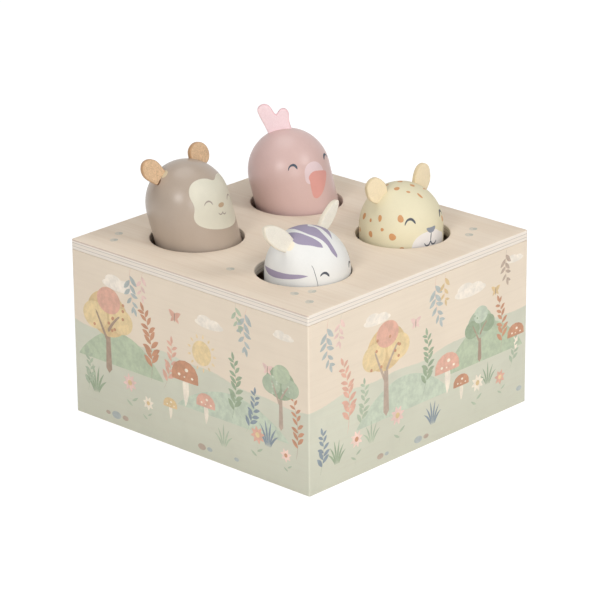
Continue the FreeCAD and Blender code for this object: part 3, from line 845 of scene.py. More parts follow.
# The figures of each side in the order in which they are laid. A row is the name of a figure's
# function and what that function takes: place and sizes in millimetres, degrees, counts, inks.
PICTURES = {
    "front": """
    cloud -30 71 18, cloud 34 67 22, cloud 66 74 12, mound -12 22 64 17 mint,
    mound 44 30 56 19 leafy, sprig -62 81 22 178 9 6.2 coral slate,
    sprig -53 81 13 188 6 5.2 sage pink, sprig 10 81 22 173 9 6.4 coral slate,
    sprig 17 81 13 183 5 5.2 coral ochre, sprig 60 81 15 180 7 5.4 bark taupe,
    tree -24 23 48 30 taupe ochre honey coral rust, sprig -50 22 34 -4 16 6.4 coral coral,
    sprig -43 21 22 12 11 5.2 sage sage, sprig 1 25 29 6 15 5.8 moss moss,
    sprig -68 8 19 5 10 5.4 moss navy, tree 41 30 29 20 bark sage moss mint moss,
    toadstool 18 21 19 17 coral, toadstool 28 15 12 11 rust, toadstool 67 28 13 12 rust,
    sprig 56 31 25 -3 12 5.4 bark rust, sprig 63 20 15 14 8 4.4 sage sage, tuft -57 10 11 6 moss,
    tuft 8 9 11 6 navy, tuft 47 17 10 5 moss, tuft -34 13 10 5 sage,
    flower -45 5 13 5 4.2 8 petal rust, flower -15 6 15 -5 4.8 8 pink ochre,
    flower 38 6 14 7 4.4 8 cream ochre, flower 57 7 11 -6 3.8 7 coral honey,
    pebble -2 4.5 5.5 slate, pebble 3.5 4.5 3.6 taupe, pebble 70 8 4 slate,
    pebble -28 4.5 4.4 taupe, pebble -23.6 4.5 2.8 slate, butterfly -4 62 6.0 pink,
    butterfly 52 62 5.4 ochre""",
    "right": """
    cloud -40 69 22, cloud 12 72 16, cloud 52 68 20, mound -34 30 70 18 leafy,
    mound 40 34 66 19 mint, tree 40 33 40 28 bark sage moss leafy mint,
    tree -48 30 34 24 taupe coral pink honey rust, sprig -12 81 20 176 8 6.2 coral slate,
    sprig 66 81 15 186 6 5.4 coral pink, sprig -22 29 30 5 14 6.2 bark rust,
    sprig -68 22 26 3 12 5.8 moss moss, sprig 18 30 27 -6 13 5.8 sage navy,
    sprig 64 24 24 6 12 5.4 bark coral, toadstool 0 24 20 17 rust, toadstool 10 18 12 11 ochre,
    sun 4 59 5.4 honey 13, tuft -58 11 12 6 moss, tuft 28 13 11 6 navy, tuft -8 9 9 5 sage,
    flower -35 8 15 5 4.6 8 pink ochre, flower -25 6 11 -7 3.6 7 cream rust,
    flower 48 9 14 6 4.4 8 coral honey, flower 60 6 11 -6 3.6 7 petal rust, pebble 18 5 5 slate,
    pebble 23 5 3.4 taupe, pebble -48 4.5 4.4 taupe, butterfly -28 66 6.0 coral,
    butterfly 24 64 5.4 pink""",
    "back": """
    cloud -56 71 15, cloud -6 68 22, cloud 48 72 17, mound -40 34 62 18 mint,
    mound 30 28 80 18 leafy, tree -30 33 41 29 bark honey ochre coral rust,
    tree 52 28 36 24 taupe moss sage mint leafy, sprig 22 81 21 177 9 6.2 coral slate,
    sprig -66 81 14 184 6 5.4 sage pink, sprig -56 28 31 -4 14 6.2 bark rust,
    sprig 0 27 30 4 14 6.0 moss moss, sprig 28 24 24 9 12 5.6 sage navy,
    sprig 66 18 24 -3 11 5.0 bark coral, toadstool 13 20 18 15 coral, toadstool -10 16 12 11 rust,
    tuft -46 13 12 6 navy, tuft 40 11 11 6 moss, tuft -22 10 9 5 sage,
    flower -65 8 13 5 4.2 8 pink ochre, flower -34 6 13 -6 4.2 8 petal rust,
    flower 24 6 14 5 4.4 8 cream ochre, flower 62 6 12 -6 3.8 7 coral honey, pebble 0 5 5.5 slate,
    pebble 5.6 5 3.4 taupe, pebble 46 4.5 4 taupe, butterfly -8 60 6.0 pink,
    butterfly 36 66 5.4 coral""",
    "left": """
    cloud -44 70 22, cloud 14 66 18, cloud 60 72 13, mound -44 30 56 17 leafy,
    mound 28 22 70 14 mint, tree -52 25 45 31 bark ochre honey coral rust,
    tree 58 27 33 21 taupe moss sage leafy mint, sprig -24 29 33 -7 15 7.0 bark rust,
    sprig -16 27 24 14 11 6.0 taupe coral, sprig -36 81 19 175 8 6.2 coral slate,
    sprig -28 81 12 184 5 5.0 coral pink, sprig 38 81 20 184 8 6.4 coral slate,
    sprig 31 81 11 172 5 5.0 sage sage, sun 9 51 6.0 honey 13, toadstool -2 22 21 17 rust,
    toadstool 11 17 14 12 coral, toadstool -12 13 10 9 ochre, sprig 27 23 30 4 15 6.0 moss moss,
    sprig 36 20 21 17 11 5.2 sage navy, sprig 67 15 31 -4 14 5.0 bark rust,
    sprig -67 12 20 4 11 4.8 sage sage, tuft -61 13 13 6 moss, tuft 22 9 10 5 sage,
    tuft 50 17 12 6 navy, flower -37 9 15 -5 4.6 8 pink ochre, flower -28 6 11 8 3.6 7 cream ochre,
    flower 42 7 14 6 4.4 8 coral honey, flower 62 6 10 -7 3.4 7 petal rust, pebble -48 5 6 slate,
    pebble -42 5 4 taupe, pebble -53.5 5 3 taupe, pebble 8 5 5 taupe, pebble 13 5 3.4 slate,
    pebble 30 5 3 slate, butterfly -8 64 6.5 coral, butterfly 50 54 5.4 pink""",
}
FIGURES_IN_PRINT = {kind.__name__: kind for kind in (sprig, tuft, flower, toadstool, tree, cloud,
                                                     butterfly, sun, pebble, mound)}


def picture(side):
    """The strokes of one side of the box, in metres from its middle and from the table."""
    rows = []
    for words in PICTURES[side].split(","):
        kind, *numbers = [word if word.isalpha() else float(word) if "." in word else int(word)
                          for word in words.split()]
        rows += FIGURES_IN_PRINT[kind](*numbers)
    return [(MM * np.array(curve, float), MM * width, *look) for curve, width, *look in rows]


def dress(node, material):
    """Puts a material on a node of the frame in place of its own."""
    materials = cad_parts[node].data.materials
    materials.clear()
    materials.append(material)


class TOY_OT_print(Operator):
    """Give the four sides their printed sky and meadow, and lay the printed plants on them"""
    bl_idname = "toy.printed_sides"
    bl_label = "Printed Sides"

    def execute(self, context):
        box, _ = settings()
        board = printed_board("printed_board", box)
        ink = ink_material("print_ink", 0.0035, 0.11)
        # Which way each side's picture runs, and which way the side faces.
        sides = {"front": ((1, 0), (0, -1)), "right": ((0, 1), (1, 0)),
                 "back": ((-1, 0), (0, 1)), "left": ((0, -1), (-1, 0))}
        for side, ways in sides.items():
            across, outward = np.array(ways, float)
            dress(side + "_panel", board)

            def place(points, lift):
                plan = points[..., :1] * across + (box.side / 2 + lift[..., None]) * outward
                return np.concatenate([plan, points[..., 1:]], -1)

            make_piece(side + "_print", stroke_sheets(picture(side), place), "box",
                       ink)
        return {"FINISHED"}


# ---- Pegs ----
def peg_sheet(pegs):
    """Turned peg: its half section carried round the axis.

    The section runs from the dome's pole down the quarter ellipse and the cylinder, round the
    foot, up the bore and in to the axis. bare marks what the paint doesn't reach."""
    base, pilot, chamfer = pegs.length - pegs.dome, (1.6 * MM, 10.05 * MM), 0.4 * MM
    turn = np.linspace(0, math.pi / 2, 40)
    dome = np.stack([pegs.radius * np.sin(turn), base + pegs.dome * np.cos(turn)], -1)
    wall = np.stack([np.full(8, pegs.radius), np.linspace(base, pegs.foot, 9)[1:]], -1)
    turn = np.linspace(0, math.pi / 2, 7)[1:]
    foot = np.stack([pegs.radius - pegs.foot * (1 - np.cos(turn)),
                     pegs.foot * (1 - np.sin(turn))], -1)
    depth = pegs.bore_depth
    inside = np.array([(pegs.bore + chamfer, 0), (pegs.bore, chamfer), (pegs.bore, depth / 2),
                       (pegs.bore, depth), (pilot[0], depth), (pilot[0], depth + pilot[1]),
                       (0, depth + pilot[1])])
    section = np.concatenate([dome, wall, foot, inside])
    bare = np.arange(len(section)) >= len(section) - len(inside)
    angle = np.linspace(0, 2 * math.pi, 144, endpoint=False)[:, None]
    plan = np.stack([section[:, 0] * np.cos(angle), section[:, 0] * np.sin(angle)], -1)
    return raised(plan, section[:, 1:]), bare


class TOY_OT_pegs(Operator):
    """Turn the four pegs and give each its paint"""
    bl_idname = "toy.pegs"
    bl_label = "Pegs"

    def execute(self, context):
        _, pegs = settings()
        gloss = {"monkey": (0.32, 0.36), "bird": (0.32, 0.2), "zebra": (0.55, 0.0),
                 "leopard": (0.55, 0.0)}
        points, bare = peg_sheet(pegs)
        for name, slot in PAINT_SLOTS.items():
            rotation, foot = peg_place(name)
            sheet = (points @ rotation.T + foot, True, False, {"bare": bare})
            make_piece(name + "_peg", [sheet], name,
                       peg_paint(slot, getattr(pegs, name), *gloss[name]), (name,), sharp=50.0)
        return {"FINISHED"}


# ---- Painted faces ----
def bearings(pairs):
    """Directions for pairs of azimuth and elevation."""
    az, el = np.radians(np.asarray(pairs, float)).T
    return np.stack([np.sin(az) * np.cos(el), -np.cos(az) * np.cos(el), np.sin(el)], -1)


def chart(points, azimuth, elevation, roll=0.0):
    """Directions from the middle of the dome's base for points drawn on a flat chart.

    The chart touches a ball with CHART_BALL for its radius, in the direction that azimuth, from
    the face's front, and elevation give; it is turned by roll about that direction."""
    az, tilt = np.radians((azimuth, roll))
    middle = bearings((azimuth, elevation))
    across = np.array([math.cos(az), math.sin(az), 0.0])
    up = np.cross(middle, across)
    right = math.cos(tilt) * across + math.sin(tilt) * up
    above = -math.sin(tilt) * across + math.cos(tilt) * up
    points = np.asarray(points, float) / CHART_BALL
    return unit(middle + points[..., :1] * right + points[..., 1:] * above)


def on_peg(directions, lift, pegs):
    """Where rays from the middle of the dome's base meet the peg, moved out by lift.

    Above the base that is the ellipsoid, and below it the cylinder."""
    across = np.hypot(directions[..., 0], directions[..., 1])
    over = directions[..., 2] >= 0
    on_dome = 1 / np.sqrt((across / pegs.radius) ** 2 + (directions[..., 2] / pegs.dome) ** 2)
    on_wall = pegs.radius / np.maximum(across, 1e-9)
    points = directions * np.where(over, on_dome, on_wall)[..., None]
    slope = np.where(over, points[..., 2] / pegs.dome ** 2, 0)
    normal = unit(raised(points[..., :2] / pegs.radius ** 2, slope[..., None]))
    return points + normal * lift + np.array([0, 0, pegs.length - pegs.dome])


def oval_outline(width, height, slant=0.0, lumps=0.0, phase=0.0):
    """Oval with a slow waver round it, turned by slant."""
    t = np.linspace(0, 2 * math.pi, 12, endpoint=False)
    wave = 1 + lumps * np.sin(2 * t + phase) + lumps * np.sin(3 * t + 2 * phase)
    x, y = width / 2 * np.cos(t) * wave, height / 2 * np.sin(t) * wave
    tilt = math.radians(slant)
    return np.stack([x * math.cos(tilt) - y * math.sin(tilt),
                     x * math.sin(tilt) + y * math.cos(tilt)], -1)


class Brush:
    """Paints one peg with closed films of paint, each of one colour and in one layer.

    Its marks are drawn in millimetres on the chart that azimuth, elevation and roll place."""

    def __init__(self, name, *where):
        self.name, self.where, self.sheets = name, where, []

    def film(self, rows, layer, code, patch=False):
        """Closed film: rows of directions over the surface and back under it. A patch's rows
        shrink to a point, and a ribbon's rows meet at both ends."""
        pegs = settings()[1]
        rotation, foot = peg_place(self.name)
        points = np.concatenate([on_peg(rows, PAINT_LIFT + PAINT_LAYER * layer, pegs),
                                 on_peg(rows[::-1], -PAINT_SUNK, pegs)])
        self.sheets.append((points @ rotation.T + foot, not patch, patch, {"ink": paint(code)}))

    def ribbon(self, first, second, across, layer, code):
        """Rows that go evenly from one line of directions to another."""
        share = np.linspace(0, 1, across)[:, None, None]
        self.film(unit(first + (second - first) * share), layer, code)

    def line(self, points, width, code, swell=0.5, ends=0.12):
        """Smooth curve moved left and right by its half width, which is greatest at swell, a
        share of the length, and goes round at the ends."""
        path = smooth_line(points, 41)
        along = unit(np.gradient(path, axis=0))
        left = np.stack([-along[:, 1], along[:, 0]], -1)
        t = np.linspace(0, 1, 41)
        taper = np.sqrt(np.clip(np.minimum(t, 1 - t) / ends, 0, 1))
        body = 1 - 0.45 * np.abs(t - swell) / max(swell, 1 - swell)
        half = left * (width / 2 * taper * body)[:, None]
        self.ribbon(chart(path + half, *self.where), chart(path - half, *self.where), 5, 1, code)

    def stripe(self, upper, lower, code):
        """Between two smooth lines of bearings, from a shared tip to a shared tail."""
        edges = (unit(smooth_line(bearings(edge), 61)) for edge in (upper, lower))
        self.ribbon(*edges, 13, 0, code)

    def patch(self, outline, centre, layer, code, count=72, rings=12):
        """Rings that shrink from a smooth closed outline to a centre."""
        rim = smooth_line(outline, count, closed=True)
        share = np.linspace(0, 1, rings)[:, None, None]
        self.film(chart(centre + (rim - centre) * share, *self.where), layer, code, True)

    def slot(self, pairs, code):
        """Rings that shrink from a smooth closed line of bearings to its middle."""
        rim = unit(smooth_line(bearings(pairs), 41, closed=True))
        middle = unit(rim.mean(0))
        share = np.linspace(0, 1, 5)[:, None, None]
        self.film(unit(middle + (rim - middle) * share), 0.5, code, True)


def monkey_face(brush):
    half = [(-0.2, 13.6), (-3.4, 15.6), (-7.2, 17.8), (-12, 19.2), (-17.2, 19.1), (-21, 16.5),
            (-22.2, 12.7), (-21.3, 8), (-19.3, 4), (-18.7, -0.2), (-19.5, -2.9), (-19.8, -6.2),
            (-18, -9.2), (-14.3, -10.8), (-10.1, -11.4), (-5.7, -11.5), (-1.2, -11.5)]
    brush.patch(half + [(-x, y) for x, y in half[::-1]], (0, 3), 0, "D6D1BF", 140, 16)
    eye = [(-11.2, 1.3), (-10, 2.6), (-8.1, 3.1), (-6.5, 2.2), (-5.7, 0.8)]
    for hand in (1, -1):
        brush.line([(x * hand, y) for x, y in eye], 0.9, "A4988E")
    nose = (-0.2, -0.3)
    brush.patch(oval_outline(4.2, 2.3) + nose, nose, 1, "BBA184", 36, 5)
    brush.line([(-2.7, -3.5), (-1.8, -4.5), (-0.5, -4.4), (0.1, -3.4)], 0.6, "A4988E")
    brush.line([(0.1, -3.4), (0.5, -4.5), (1.6, -4.9), (2.6, -4.2)], 0.6, "A4988E")
    # Bare wood and shade beside the ear, where the slot is longer than the ear.
    brush.slot([(-96, 68.3), (-77, 68.2), (-72, 64), (-75.7, 58.6), (-82, 57), (-91, 62)], "D0C2A4")
    brush.slot([(-91.5, 47), (-88, 45.8), (-84, 53), (-87.6, 55.2)], "6B4F38")


def bird_face(brush):
    brush.line([(-18.1, 6.1), (-17.1, 8), (-15.3, 8.8), (-13.5, 8.6), (-11.9, 7.2), (-11.2, 5.2)],
               1.6, "47525F", 0.6)
    brush.line([(8.4, 5.3), (9.7, 7), (11.4, 8.1), (13.3, 8.3), (15.2, 7.6), (16.2, 5.9)],
               1.6, "47525F", 0.4)
    cap = [(-6.4, -3.5), (-7.2, -2.2), (-7.4, 0.2), (-7.1, 2.8), (-6, 4.8), (-3.8, 6.2),
           (-1.1, 6.5), (1.4, 5.7), (3.2, 4), (4.4, 1.8), (4.8, -0.3), (3.9, -2.4), (0, -3.6),
           (-3.6, -4.2)]
    brush.patch(cap, (-1.3, 1), 1, "DFC9CB")
    beak = [(-5, -2.3), (-5.3, -0.9), (-4.7, 0.2), (-3, 1.4), (0.3, 1.4), (4.8, 0.4), (7.1, -0.7),
            (6.2, -4.1), (4.1, -7.3), (1.9, -9.8), (-0.5, -11.5), (-2.2, -12), (-3.6, -11.3),
            (-4.4, -8.4), (-4.8, -5)]
    brush.patch(beak, (0, -4), 2, "DA9D94")


# The zebra's stripes as bearings of their upper and lower edges: crown, left side, right side,
# cheek, far cheek, back and low on the back.
STRIPES = [
    ([(-1, 29), (1, 31), (2, 37), (2, 45), (3, 53), (5, 62), (11, 70), (24, 76), (50, 83),
      (100, 87), (125, 78), (145, 68), (-176, 58)],
     [(-1, 29), (-4, 33), (-7, 39), (-8, 46), (-10, 53), (-17, 61), (-27, 66), (-46, 71),
      (-69, 75), (-116, 76), (-145, 72), (-158, 66), (-176, 58)]),
    ([(-20, 47), (-20, 52), (-25, 58), (-36, 64), (-55, 69), (-82, 72), (-110, 70), (-128, 64)],
     [(-20, 47), (-30, 49), (-40, 51.5), (-54, 53), (-72, 54), (-92, 58), (-110, 61), (-128, 64)]),
    ([(16, 53), (23, 56), (31, 58), (53, 61), (76, 61), (96, 61), (116, 60)],
     [(16, 53), (20, 58), (24, 62), (33, 68), (50, 73.5), (75, 78), (100, 77), (116, 60)]),
    ([(-50, 11.5), (-58, 13), (-68, 13), (-79, 12.5), (-89, 12.5), (-101, 12.5), (-116, 12),
      (-132, 10)],
     [(-50, 11.5), (-58, 9), (-68, 7), (-79, 5.5), (-90, 4.3), (-102, 3.5), (-114, 4.2),
      (-132, 10)]),
    ([(58, 12), (66, 13), (76, 13), (87, 12.5), (97, 12.5), (109, 12.5), (124, 12), (138, 10)],
     [(58, 12), (66, 9), (76, 7), (87, 5.5), (98, 4.3), (110, 3.5), (122, 4.2), (138, 10)]),
    ([(-160, 30), (-166, 37), (180, 42), (166, 40), (152, 33)],
     [(-160, 30), (-168, 31), (180, 33), (166, 33), (152, 33)]),
    ([(-165, 4), (-172, 9), (178, 12), (166, 10), (154, 4)],
     [(-165, 4), (-172, 4), (178, 5), (166, 5), (154, 4)]),
]


def zebra_face(brush):
    for upper, lower in STRIPES:
        brush.stripe(upper, lower, "9D93A9")
    jaw = [(-19.6, 11.8), (-18.4, 9.8), (-17.3, 6.1), (-16.3, 2.1), (-15.5, -2.3), (-15.2, -6)]
    for side in (jaw, [(1 - x, y) for x, y in jaw]):
        brush.line(side, 0.46, "6F6D72", 0.4, 0.03)
    eye = [(-13.4, 3), (-12, 4.1), (-10.3, 4.3), (-8.8, 3.5), (-7.7, 1.8)]
    for hand, shift in ((1, 0), (-1, 0.4)):
        brush.line([(x * hand + shift, y) for x, y in eye], 1.35, "50545D", 0.6)
    brush.slot([(-87.7, 42.3), (-89.5, 45.6), (-91.7, 54.2), (-85, 56.3), (-79, 53.3), (-78, 48.5),
                (-82.7, 42.7)], "EDE4D2")


# The leopard's spots: azimuth, elevation, width, height and slant, where there is one. The last
# ones go round the back of the head.
SPOTS = [
    (-113, 21, 2.6, 3.3), (-95, 20, 1.2, 1.9, 10), (-79, 26, 1.9, 3.2, 5),
    (-47, 28, 2.9, 3.5, 20), (-73, 11.5, 1.6, 1.7), (-92, 1.5, 2.3, 3.2), (-58, 3, 3.5, 3.3),
    (-66, 74, 2.6, 2.4), (149, 85, 2.3, 3.1), (-23, 67, 1.9, 1.2, -20), (26, 76, 2.1, 2.3),
    (3, 57, 3.4, 1.2, -80), (50, 59, 2.8, 1.1, -35), (-136, 72, 1.3, 2), (-45, -12, 2.2, 0.8),
    (35, 13.5, 2.8, 3, -15), (62, 5, 3.4, 3.2), (84, 22, 1.9, 3), (76, -8, 2, 2.6),
    (-122, -1, 1.8, 2.3), (99, 10, 2.6, 3), (112, 32, 2.2, 2.6), (128, 12, 3, 3.1),
    (146, 34, 2.6, 2.2), (150, 5, 2, 2.6), (168, 20, 3, 2.8), (-172, 42, 2.4, 2.1),
    (-170, 4, 2.4, 2.8), (-152, 24, 2.8, 3), (-142, 4, 2.2, 2.6), (-150, 58, 2.1, 1.9),
    (130, 58, 2.4, 2), (176, 62, 2, 2.2), (-108, -25, 2.4, 2.6), (-70, -27, 2.1, 2.4),
    (116, -10, 2.6, 2.6), (160, -12, 2.3, 2.6), (-158, -14, 2.4, 2.5), (96, 44, 2.1, 1.8),
]


def leopard_face(brush):
    muzzle = [(-12.4, -9), (-11.9, -5.1), (-11.1, -2.6), (-9.1, 0), (-6.5, 1.6), (-3.5, 2.3),
              (0, 2.5), (2.8, 2.6), (6, 0.7), (9.0, -0.6), (11.4, -2.4), (12.6, -5.5), (12.4, -9),
              (8, -12.4), (0, -13.6), (-8, -12.4)]
    brush.patch(muzzle, (0, -5), 0, "E9E4E0", 90, 12)
    for eye in ([(-17, 8.8), (-16.1, 10.7), (-14.5, 12), (-12.5, 12), (-10.4, 10.4), (-9.2, 8)],
                [(9.8, 7.2), (11.2, 9.6), (13.1, 11.2), (15.1, 11.2), (16.6, 9.8), (17.5, 7.9)]):
        brush.line(eye, 1.8, "50555D")
    nose = [(-2.9, 3.9), (0, 4.1), (3, 3.8), (2.5, 2.7), (0.7, 1.55), (-0.7, 1.5), (-2.2, 2.5)]
    brush.patch(nose, (0, 2.8), 2, "8C929C", 40, 5)
    brush.line([(-0.1, 1.8), (-0.3, 0), (-0.6, -2.3)], 0.6, "5B5E66", ends=0.06)
    brush.line([(-4.3, -3), (-3.3, -4.4), (-1.8, -4.3), (-0.6, -2.2)], 0.8, "5B5E66")
    brush.line([(-0.6, -2.2), (0.6, -4.3), (2.3, -4.3), (3.4, -3)], 0.8, "5B5E66")
    for step, (azimuth, elevation, *sizes) in enumerate(SPOTS):
        brush.where = azimuth - 0.5, elevation - 1.2
        outline = oval_outline(*sizes, lumps=0.05, phase=1.7 * step)
        brush.patch(outline, (0, 0), 1, "CE9765", 24, 4)


# Each figure's face and the place of its chart: azimuth, elevation and roll.
FACES = {"monkey": (monkey_face, 14.2, -2.6, -11), "bird": (bird_face, 0.3, 0.1, -7),
         "zebra": (zebra_face, 0.4, 3.7), "leopard": (leopard_face, -1.3, -1.2)}


class TOY_OT_faces(Operator):
    """Paint the animals' faces, stripes and spots"""
    bl_idname = "toy.faces"
    bl_label = "Painted Faces"

    def execute(self, context):
        material = ink_material("face_paint", 0.012, 0.035)
        for name, (face, *where) in FACES.items():
            brush = Brush(name, *where)
            face(brush)
            make_piece(name + "_face", brush.sheets, name, material)
        return {"FINISHED"}


# ---- Ears and crest ----
def plate(outline, centre, thickness):
    """Sheet cut to an outline, with its cut edge rounded.

    Rings grow from the centre to the outline on one face, go round the edge on an arc and
    shrink back to the centre on the other face. rim marks the cut edge."""
    ahead, behind = np.roll(outline, -1, 0), np.roll(outline, 1, 0)
    along = unit(ahead - behind)
    outward = np.stack([along[:, 1], -along[:, 0]], -1)
    area = np.sum(outline[:, 0] * ahead[:, 1] - ahead[:, 0] * outline[:, 1])
    turn = np.linspace(0, math.pi, 13)
    half, rounding = thickness / 2, EAR_ROUNDING * MM
    inset = rounding * (1 - np.sin(turn))
    straight = (half - rounding) * np.sign(np.cos(turn)) * (np.abs(np.cos(turn)) > 1e-6)
    edge = outline - outward * np.sign(area) * inset[:, None, None]
    share = np.linspace(0, 0.96, 9)
    face = centre + (edge[0] - centre) * share[:, None, None]
    flat = np.concatenate([face, edge, face[::-1]])
    crown = half + 0.06 * thickness * (1 - share ** 4)
    rise = np.concatenate([crown, straight + rounding * np.cos(turn), -crown[::-1]])
    rim = np.concatenate([np.zeros(9), np.sin(turn) ** 0.7, np.zeros(9)])
    points = np.insert(flat, 1, rise[:, None], axis=-1)
    return points, np.broadcast_to(rim[:, None], flat.shape[:2])


def cut_outline(curve, root):
    """Closed outline: the smooth curve from root to root, and the tab that goes down into the
    peg."""
    line = smooth_line(curve, 90)
    down = np.linspace(0, 1, 8)[1:, None]
    right = line[-1] + (np.array([root, -TAB_DEPTH]) - line[-1]) * down
    left = np.array([-root, -TAB_DEPTH]) + (line[0] - (-root, -TAB_DEPTH)) * down[:-1]
    return np.concatenate([line, right, left])


class TOY_OT_ears(Operator):
    """Cut the ears and the crest and set them into the domes"""
    bl_idname = "toy.ears"
    bl_label = "Ears and Crest"

    def execute(self, context):
        _, pegs = settings()
        # Each figure's sheet: colour of the cut rim, size of the nap, depth of tone, roughness.
        looks = {"monkey": ("tan_leather", "B58A62", 0.0012, 0.26, 0.8),
                 "leopard": ("cream_leather", "DCC79F", 0.0009, 0.07, 0.72),
                 "zebra": ("ivory_felt", "E6DAC4", 0.0007, 0.08, 0.95),
                 "bird": ("pink_felt", "EFC3C6", 0.0007, 0.09, 0.95)}
        materials = {name: sheet_material(slot, rgba(getattr(pegs, slot)), paint(rim), *rest)
                     for name, (slot, rim, *rest) in looks.items()}

        def place(node, points, rim):
            name = node.split("_")[0]
            rotation, foot = peg_place(name)
            make_piece(node + "_sheet", [(points @ rotation.T + foot, False, True, {"rim": rim})],
                       name, materials[name], (node,), sharp=60.0)

        for ear, (shape, side, out, splay, swing, width, length) in EARS.items():
            half = [(across * width, along * length) for across, along in shape]
            outline = cut_outline([(-x, z) for x, z in half] + half[-2::-1], half[0][0])
            points, rim = plate(outline * MM, np.array([0, 0.42 * length]) * MM, pegs.sheet)
            points = (points - (0, 0, ROOT_SINK * MM)) @ turn_about((0, 1, 0), splay).T
            points = points + (out * MM, 0, dome_height(out * MM, pegs))
            place(ear, points @ turn_about((0, 0, 1), swing).T * (side, 1, 1), rim)
        curve = np.array(CREST_OUTLINE) * (CREST_WIDTH, CREST_HEIGHT)
        points, rim = plate(cut_outline(curve, 0.40 * CREST_WIDTH) * MM,
                            np.array([0, 0.35 * CREST_HEIGHT]) * MM, pegs.sheet)
        back = CREST_BACK * MM
        points = points + (0, back, dome_height(back, pegs) - ROOT_SINK * MM)
        place("bird_crest", points @ turn_about((0, 0, 1), CREST_SWING).T, rim)
        return {"FINISHED"}


# ---- Springs ----
def spring_line(name):
    """The middle of a spring: straight up the boss, a cubic curve, straight up the bore.

    The cubic's handles lie along the two straight runs, the upper one three times as long as the
    lower one, so that the spring runs straight into the bore also when it is pressed."""
    box, pegs = settings()
    rotation, mouth = peg_place(name)
    axis, upright = rotation[:, 2], np.array([0, 0, 1.0])
    column, row, *_ = FIGURES[name]
    foot = np.array([column * box.reach, row * box.reach, BASE_THICKNESS])
    start = foot + upright * BOSS_HEIGHT
    reach = np.linalg.norm(mouth - start) / 3
    t = np.linspace(0, 1, 200)[:, None]
    lower, upper = start + upright * reach * 0.6, mouth - axis * reach * 1.8
    curve = ((1 - t) ** 3 * start + 3 * t * (1 - t) ** 2 * lower
             + 3 * t ** 2 * (1 - t) * upper + t ** 3 * mouth)
    return np.vstack([foot, curve, mouth + axis * pegs.bore_depth]), foot, axis


def spring_sheet(line, pegs):
    """Round wire wound about a line, with a closed coil at each end and a slight waist.

    The winding's place along the line grows slowly over the closed coils and evenly between
    them. Rings of the wire stand across the winding, and a point closes each end."""
    coils, closed, per_coil, sides = 7, 1, 36, 10
    at = np.concatenate([[0], np.cumsum(np.linalg.norm(np.diff(line, axis=0), axis=1))])
    turns = np.linspace(0, coils, per_coil * coils + 1)
    opened = np.clip(turns - closed, 0, coils - 2 * closed)
    rise = pegs.wire * 1.12
    end = 0.15 * MM + pegs.wire / 2
    slope = (at[-1] - 2 * end - 2 * closed * rise) / (coils - 2 * closed)
    length = end + rise * (turns - opened) + slope * opened

    def read(where):
        return np.stack([np.interp(where, at, line[:, axis]) for axis in range(3)], -1)

    def with_ends(rings):
        return np.concatenate([rings[:1], rings, rings[-1:]])

    along = unit(read(length + 0.4 * MM) - read(length - 0.4 * MM))
    side = unit(np.cross(along, (0, 1.0, 0)))
    angle = 2 * math.pi * turns[:, None]
    out = side * np.cos(angle) + np.cross(along, side) * np.sin(angle)
    waist = 1 - 0.06 * np.sin(math.pi * length / at[-1]) ** 2
    winding = read(length) + out * pegs.coil * waist[:, None]
    across = unit(np.cross(unit(np.gradient(winding, axis=0)), out))
    ring = 2 * math.pi * np.arange(sides)[:, None, None] / sides
    radius = np.pad(np.full(len(turns), pegs.wire / 2), 1)[:, None]
    spokes = with_ends(out) * np.cos(ring) + with_ends(across) * np.sin(ring)
    return with_ends(winding) + spokes * radius


class TOY_OT_springs(Operator):
    """Wind the four springs up into the pegs"""
    bl_idname = "toy.springs"
    bl_label = "Springs"

    def execute(self, context):
        _, pegs = settings()
        material = steel("spring_steel", paint("B9BCC0"), 0.28)
        for name in FIGURES:
            line, foot, axis = spring_line(name)
            spring = make_piece(name + "_coil", [(spring_sheet(line, pegs), True, False, {})],
                                "box", material, (name + "_spring",), sharp=60.0)
            height, joint = float((line[-1] - foot) @ axis), name + "_press"
            tuple(axis)
            tuple(foot)
            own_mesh(spring)
        return {"FINISHED"}


class TOY_OT_inside(Operator):
    """Give the base board, blocks, bosses and screws their materials"""
    bl_idname = "toy.inside"
    bl_label = "Inside Parts"

    def execute(self, context):
        box, _ = settings()
        dress("base_board", plain_wood("base_plywood", rgba(box.birch), rgba(box.birch_dark), 0))
        beech = plain_wood("beech", paint("DDBB92"), paint("C39B70"))
        screws = steel("screw_steel", paint("C9C6BE"), 0.32)
        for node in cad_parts:
            if node.endswith(("_block", "_foot", "_plug")):
                dress(node, beech)
            if node.endswith(("_screw", "_screws")):
                dress(node, screws)
        return {"FINISHED"}


# ---- Stage ----
WHITE = (1, 1, 1, 1)
CAMERA_AZIMUTH, CAMERA_ELEVATION, CAMERA_ROLL = -46.682, 20.755, -0.545
# The point that the camera looks at: height over the table, and how far aside and up from there.
TARGET_HEIGHT, TARGET_ASIDE, TARGET_UP = 43.0275 * MM, -0.3991 * MM, 9.6148 * MM


def turned(name, data, right, up, back, place):
    """New camera or lamp at a place, which looks away from back."""
    matrix = np.eye(4)
    matrix[:3] = np.stack([right, up, back, place], 1)
    thing = link(name, data)
    thing.matrix_world = matrix.T.tolist()
    return thing


def area_lamp(name, place, size, power):
    """Round lamp that looks at the middle of the box."""
    lamp = bpy.data.lights.new(name, "AREA")
    lamp.shape, lamp.size, lamp.energy = "DISK", size, power
    back = unit(np.array(place) - (0, 0, 0.04))
    right = unit(np.cross((0, 0, 1.0), back))
    turned(name, lamp, right, np.cross(back, right), back, place)


def seen_or_lit(shader, share, lit, seen):
    """Output of one surface for the light and another for the eye."""
    mixed = shader.node("ShaderNodeMixShader", {}, {0: share, 1: lit, 2: seen})
    world = isinstance(shader.owner, bpy.types.World)
    shader.node("ShaderNodeOutputWorld" if world else "ShaderNodeOutputMaterial", {},
                {"Surface": mixed})
    return shader.owner


